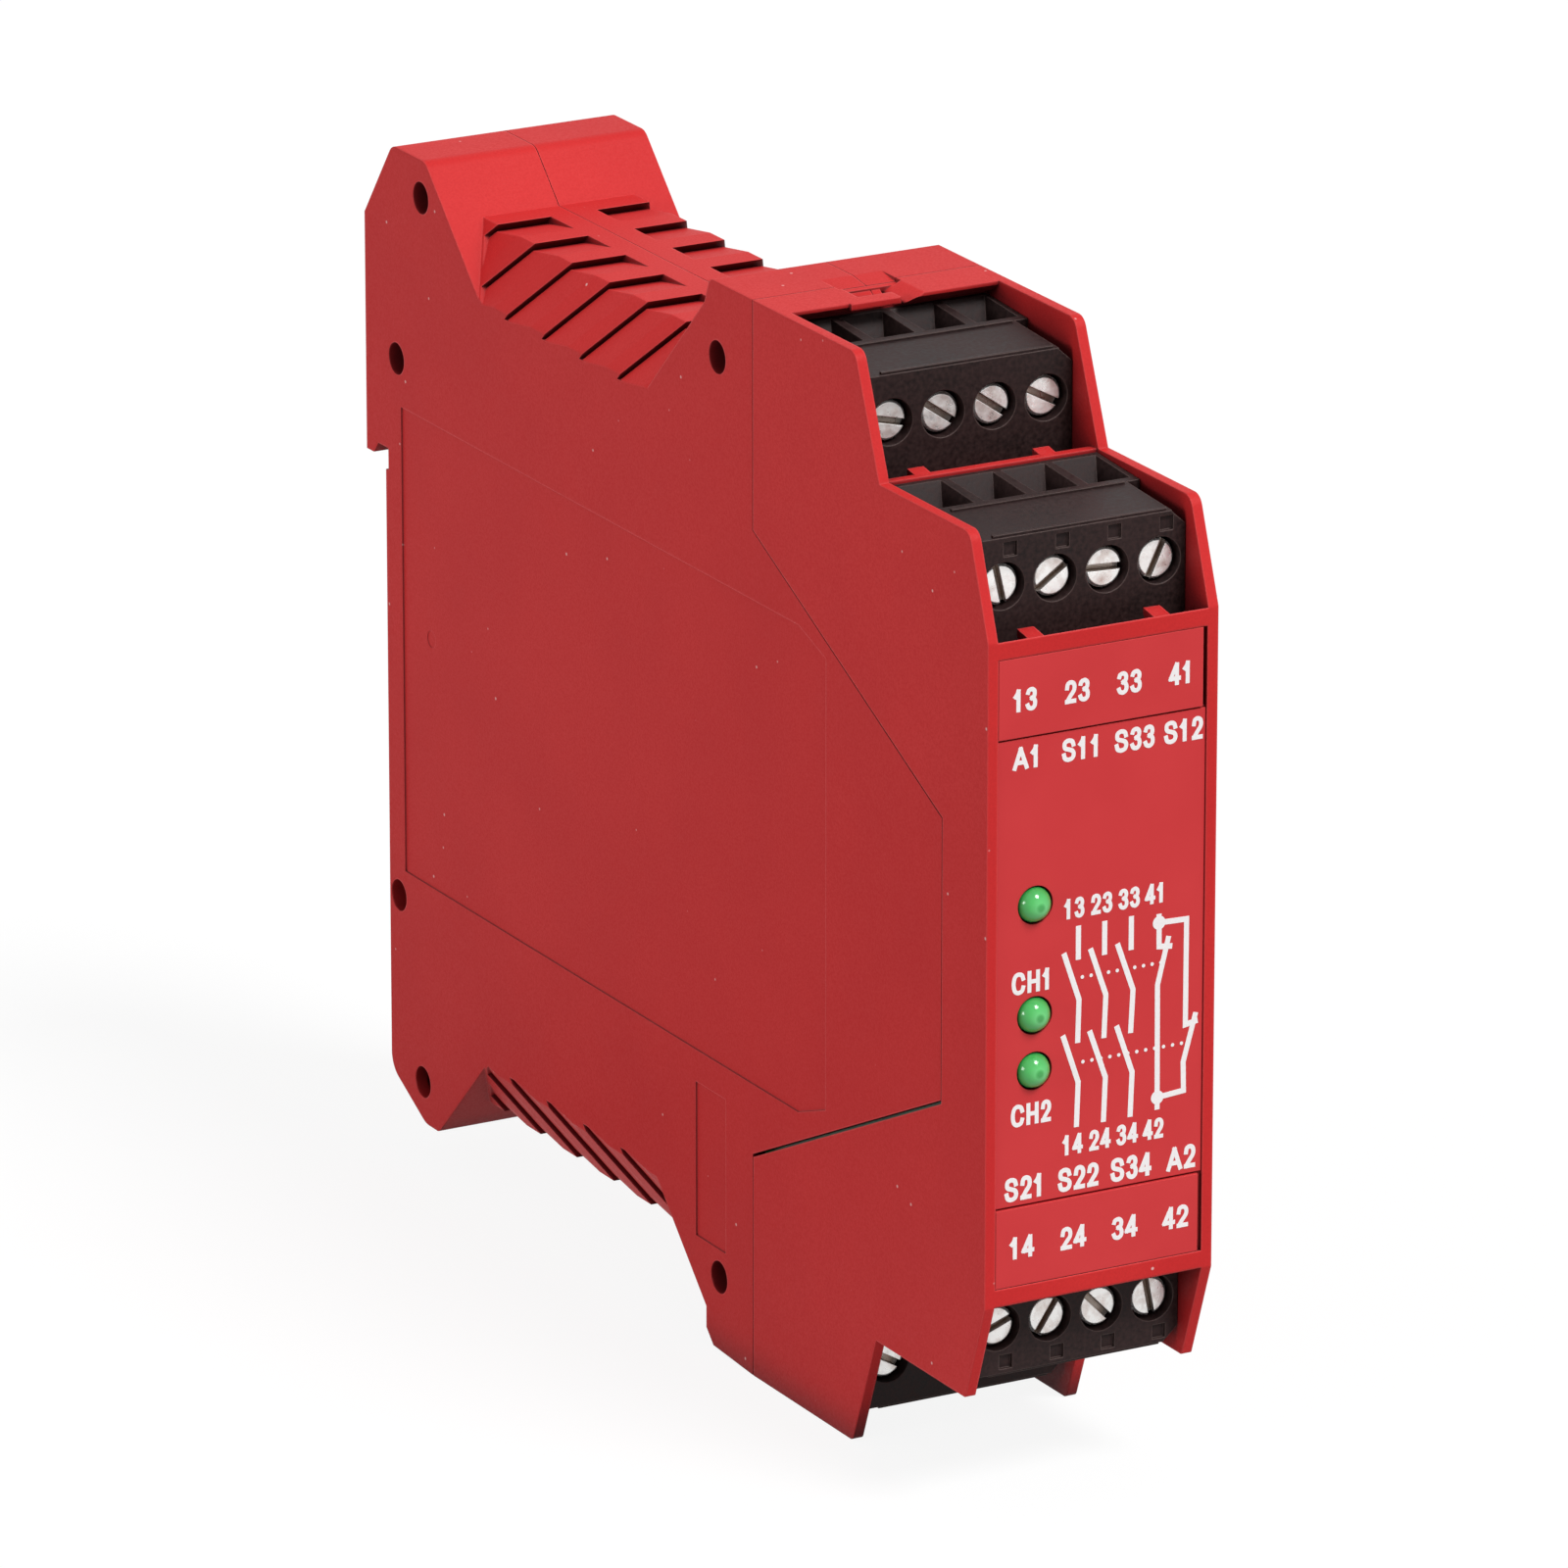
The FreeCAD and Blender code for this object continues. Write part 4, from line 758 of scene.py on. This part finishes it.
def smoothed(points, steps=4):
    # a soft curve through the points of a stroke that has five or more
    if len(points) < 5:
        return [Vector(p) for p in points]
    points = [Vector(p) for p in points]
    padded = [points[0] * 2 - points[1]] + points + [points[-1] * 2 - points[-2]]
    result = []
    for a, b, c, d in zip(padded, padded[1:], padded[2:], padded[3:]):
        for k in range(steps):
            t = k / steps
            result.append(0.5 * (2 * b + (c - a) * t + (2 * a - 5 * b + 4 * c - d) * t * t
                                 + (3 * b - a - 3 * c + d) * t ** 3))
    return result + [points[-1]]


def addStroke(shape, points, width, face, ends=0.0):
    # a flat line with mitred bends, its ends lengthened by the given amount
    points = [Vector(p) for p in points]
    points[0] += (points[0] - points[1]).normalized() * ends
    points[-1] += (points[-1] - points[-2]).normalized() * ends
    sides = []
    for i, point in enumerate(points):
        before = (point - points[i - 1]).normalized() if i else None
        after = (points[i + 1] - point).normalized() if i < len(points) - 1 else None
        along = ((before or after) + (after or before)).normalized()
        side = Vector((-along.y, along.x))
        across = Vector((-(after or before).y, (after or before).x))
        reach = width / 2 / max(printing["tightBend"], side.dot(across))
        sides.append([shape.verts.new((corner.x * mm, face * mm, corner.y * mm))
                      for corner in (point + side * reach, point - side * reach)])
    for (a, b), (c, d) in zip(sides, sides[1:]):
        shape.faces.new((a, b, d, c))


def addWord(shape, text, x, z, height, width):
    stroke = height * printing["weight"]
    total = sum(letters[sign][0] for sign in text)
    pitch = width / total
    face = printing["stripFace" if abs(z) > printing["stripFrom"] else "face"]
    left = x - width / 2
    layer = 0
    for sign in text:
        advance, start, breadth, strokes = letters[sign]
        x0 = left + start * pitch + stroke / 2
        across = breadth * pitch - stroke
        up = height - stroke
        for points in strokes:
            path = [Vector((x0 + p[0] * across, z - up / 2 + p[1] * up)) for p in smoothed(points)]
            layer += 1
            addStroke(shape, path, stroke, face - printing["layer"] * (layer % 7),
                      stroke * printing["strokeEnds"])
        left += advance * pitch


def addDisc(shape, x, z, radius, sides, face):
    ring = [(x + radius * math.cos(a), z + radius * math.sin(a))
            for a in [2 * math.pi * k / sides for k in range(sides)]]
    shape.faces.new([shape.verts.new((c[0] * mm, face * mm, c[1] * mm)) for c in ring])


def makePrint():
    # strokes that cross lie a thousandth of a millimetre apart, so that no two faces coincide
    flat = bmesh.new()
    face = printing["face"]
    layer = printing["layer"]
    for word in printing["words"]:
        addWord(flat, *word)
    for i, points in enumerate(diagram["strokes"]):
        addStroke(flat, points, diagram["width"], face - layer * (i % 5))
    for x, z in diagram["dots"]:
        addDisc(flat, x, z, diagram["dot"], printing["dotSides"], face - layer * 6)
    for (x0, z0), (x1, z1) in diagram["dottedLines"]:
        count = round((x1 - x0) / diagram["dotPitch"])
        for k in range(count + 1):
            share = k / count
            addDisc(flat, x0 + (x1 - x0) * share, z0 + (z1 - z0) * share, diagram["dotted"],
                    printing["dottedSides"], face - layer * 8)
    bmesh.ops.recalc_face_normals(flat, faces=flat.faces)
    for piece in flat.faces:
        if piece.normal.y > 0:
            piece.normal_flip()
    extruded = bmesh.ops.extrude_face_region(flat, geom=flat.faces[:])
    moved = [v for v in extruded["geom"] if isinstance(v, bmesh.types.BMVert)]
    bmesh.ops.translate(flat, verts=moved, vec=(0, -printing["thickness"] * mm, 0))
    bmesh.ops.recalc_face_normals(flat, faces=flat.faces)
    mesh = bpy.data.meshes.new("front_print")
    flat.to_mesh(mesh)
    flat.free()
    newPiece("front_print", mesh, "housing", "print_white")


makePrint()
print("front print made")


studio = dict(
    camera=(-0.52487, -1.00663, 0.35978), lens=296.68, sensor=36, farthest=50,
    right=(0.87569, -0.48288, 0.00014), down=(-0.15181, -0.27559, -0.94921),
    forward=(0.45839, 0.83119, -0.31464),
    suns=[((-0.22, 0.55, -0.80), 2.90, 20), ((0.96, 0.10, -0.22), 0.84, 16)],
    ambient=0.29, floor=(0.45, 0.45, 0.45), floorReach=6, floorRoughness=0.9, floorGlow=0.78,
    floorLift=1.15,
)


def makeCamera():
    data = bpy.data.cameras.new("camera")
    data.lens = studio["lens"]
    data.sensor_width = studio["sensor"]
    data.clip_end = studio["farthest"]
    camera = bpy.data.objects.new("camera", data)
    bpy.context.scene.collection.objects.link(camera)
    right, down, forward = (Vector(studio[way]) for way in ("right", "down", "forward"))
    axes = Matrix((right, -down, -forward)).transposed()
    camera.matrix_world = Matrix.Translation(studio["camera"]) @ axes.to_4x4()
    bpy.context.scene.camera = camera


def seenDirectly(tree):
    # 1 for what the camera, a mirror or a clear lens shows, 0 for the light that falls on things
    path = tree.nodes.new("ShaderNodeLightPath")
    value = path.outputs["Is Camera Ray"]
    for other in ("Is Glossy Ray", "Is Transmission Ray"):
        either = tree.nodes.new("ShaderNodeMath")
        either.operation = "MAXIMUM"
        link(tree, value, either.inputs[0])
        link(tree, path.outputs[other], either.inputs[1])
        value = either.outputs[0]
    return value


def makeLights():
    for i, (direction, strength, angle) in enumerate(studio["suns"]):
        data = bpy.data.lights.new(f"sun{i}", "SUN")
        data.energy = strength
        data.angle = math.radians(angle)
        lamp = bpy.data.objects.new(f"sun{i}", data)
        bpy.context.scene.collection.objects.link(lamp)
        lamp.rotation_euler = Vector(direction).to_track_quat("-Z", "Y").to_euler()
    world = bpy.data.worlds.new("studio")
    bpy.context.scene.world = world
    world.use_nodes = True
    tree = world.node_tree
    background = tree.nodes["Background"]
    strength = fit(tree, seenDirectly(tree), 0, 1, studio["ambient"], 1.0)
    link(tree, strength, background.inputs["Strength"])
    background.inputs["Color"].default_value = (1, 1, 1, 1)


def makeFloor():
    mesh = bpy.data.meshes.new("floor")
    low = cadBox[0][2]
    far = studio["floorReach"]
    corners = [(-far, -far, low), (far, -far, low), (far, far, low), (-far, far, low)]
    mesh.from_pydata(corners, [], [(0, 1, 2, 3)])
    floor = bpy.data.objects.new("floor", mesh)
    bpy.context.scene.collection.objects.link(floor)
    material, tree, shader = newMaterial("floor")
    shader.inputs["Base Color"].default_value = (*studio["floor"], 1)
    shader.inputs["Roughness"].default_value = studio["floorRoughness"]
    glow = tree.nodes.new("ShaderNodeEmission")
    glow.inputs["Strength"].default_value = studio["floorLift"]
    mix = tree.nodes.new("ShaderNodeMixShader")
    link(tree, fit(tree, seenDirectly(tree), 0, 1, 0, studio["floorGlow"]), mix.inputs[0])
    link(tree, shader.outputs[0], mix.inputs[1])
    link(tree, glow.outputs[0], mix.inputs[2])
    link(tree, mix.outputs[0], tree.nodes["Material Output"].inputs["Surface"])
    mesh.materials.append(material)


makeCamera()
makeLights()
makeFloor()
bpy.context.scene.view_settings.view_transform = "Standard"
print("studio ready")
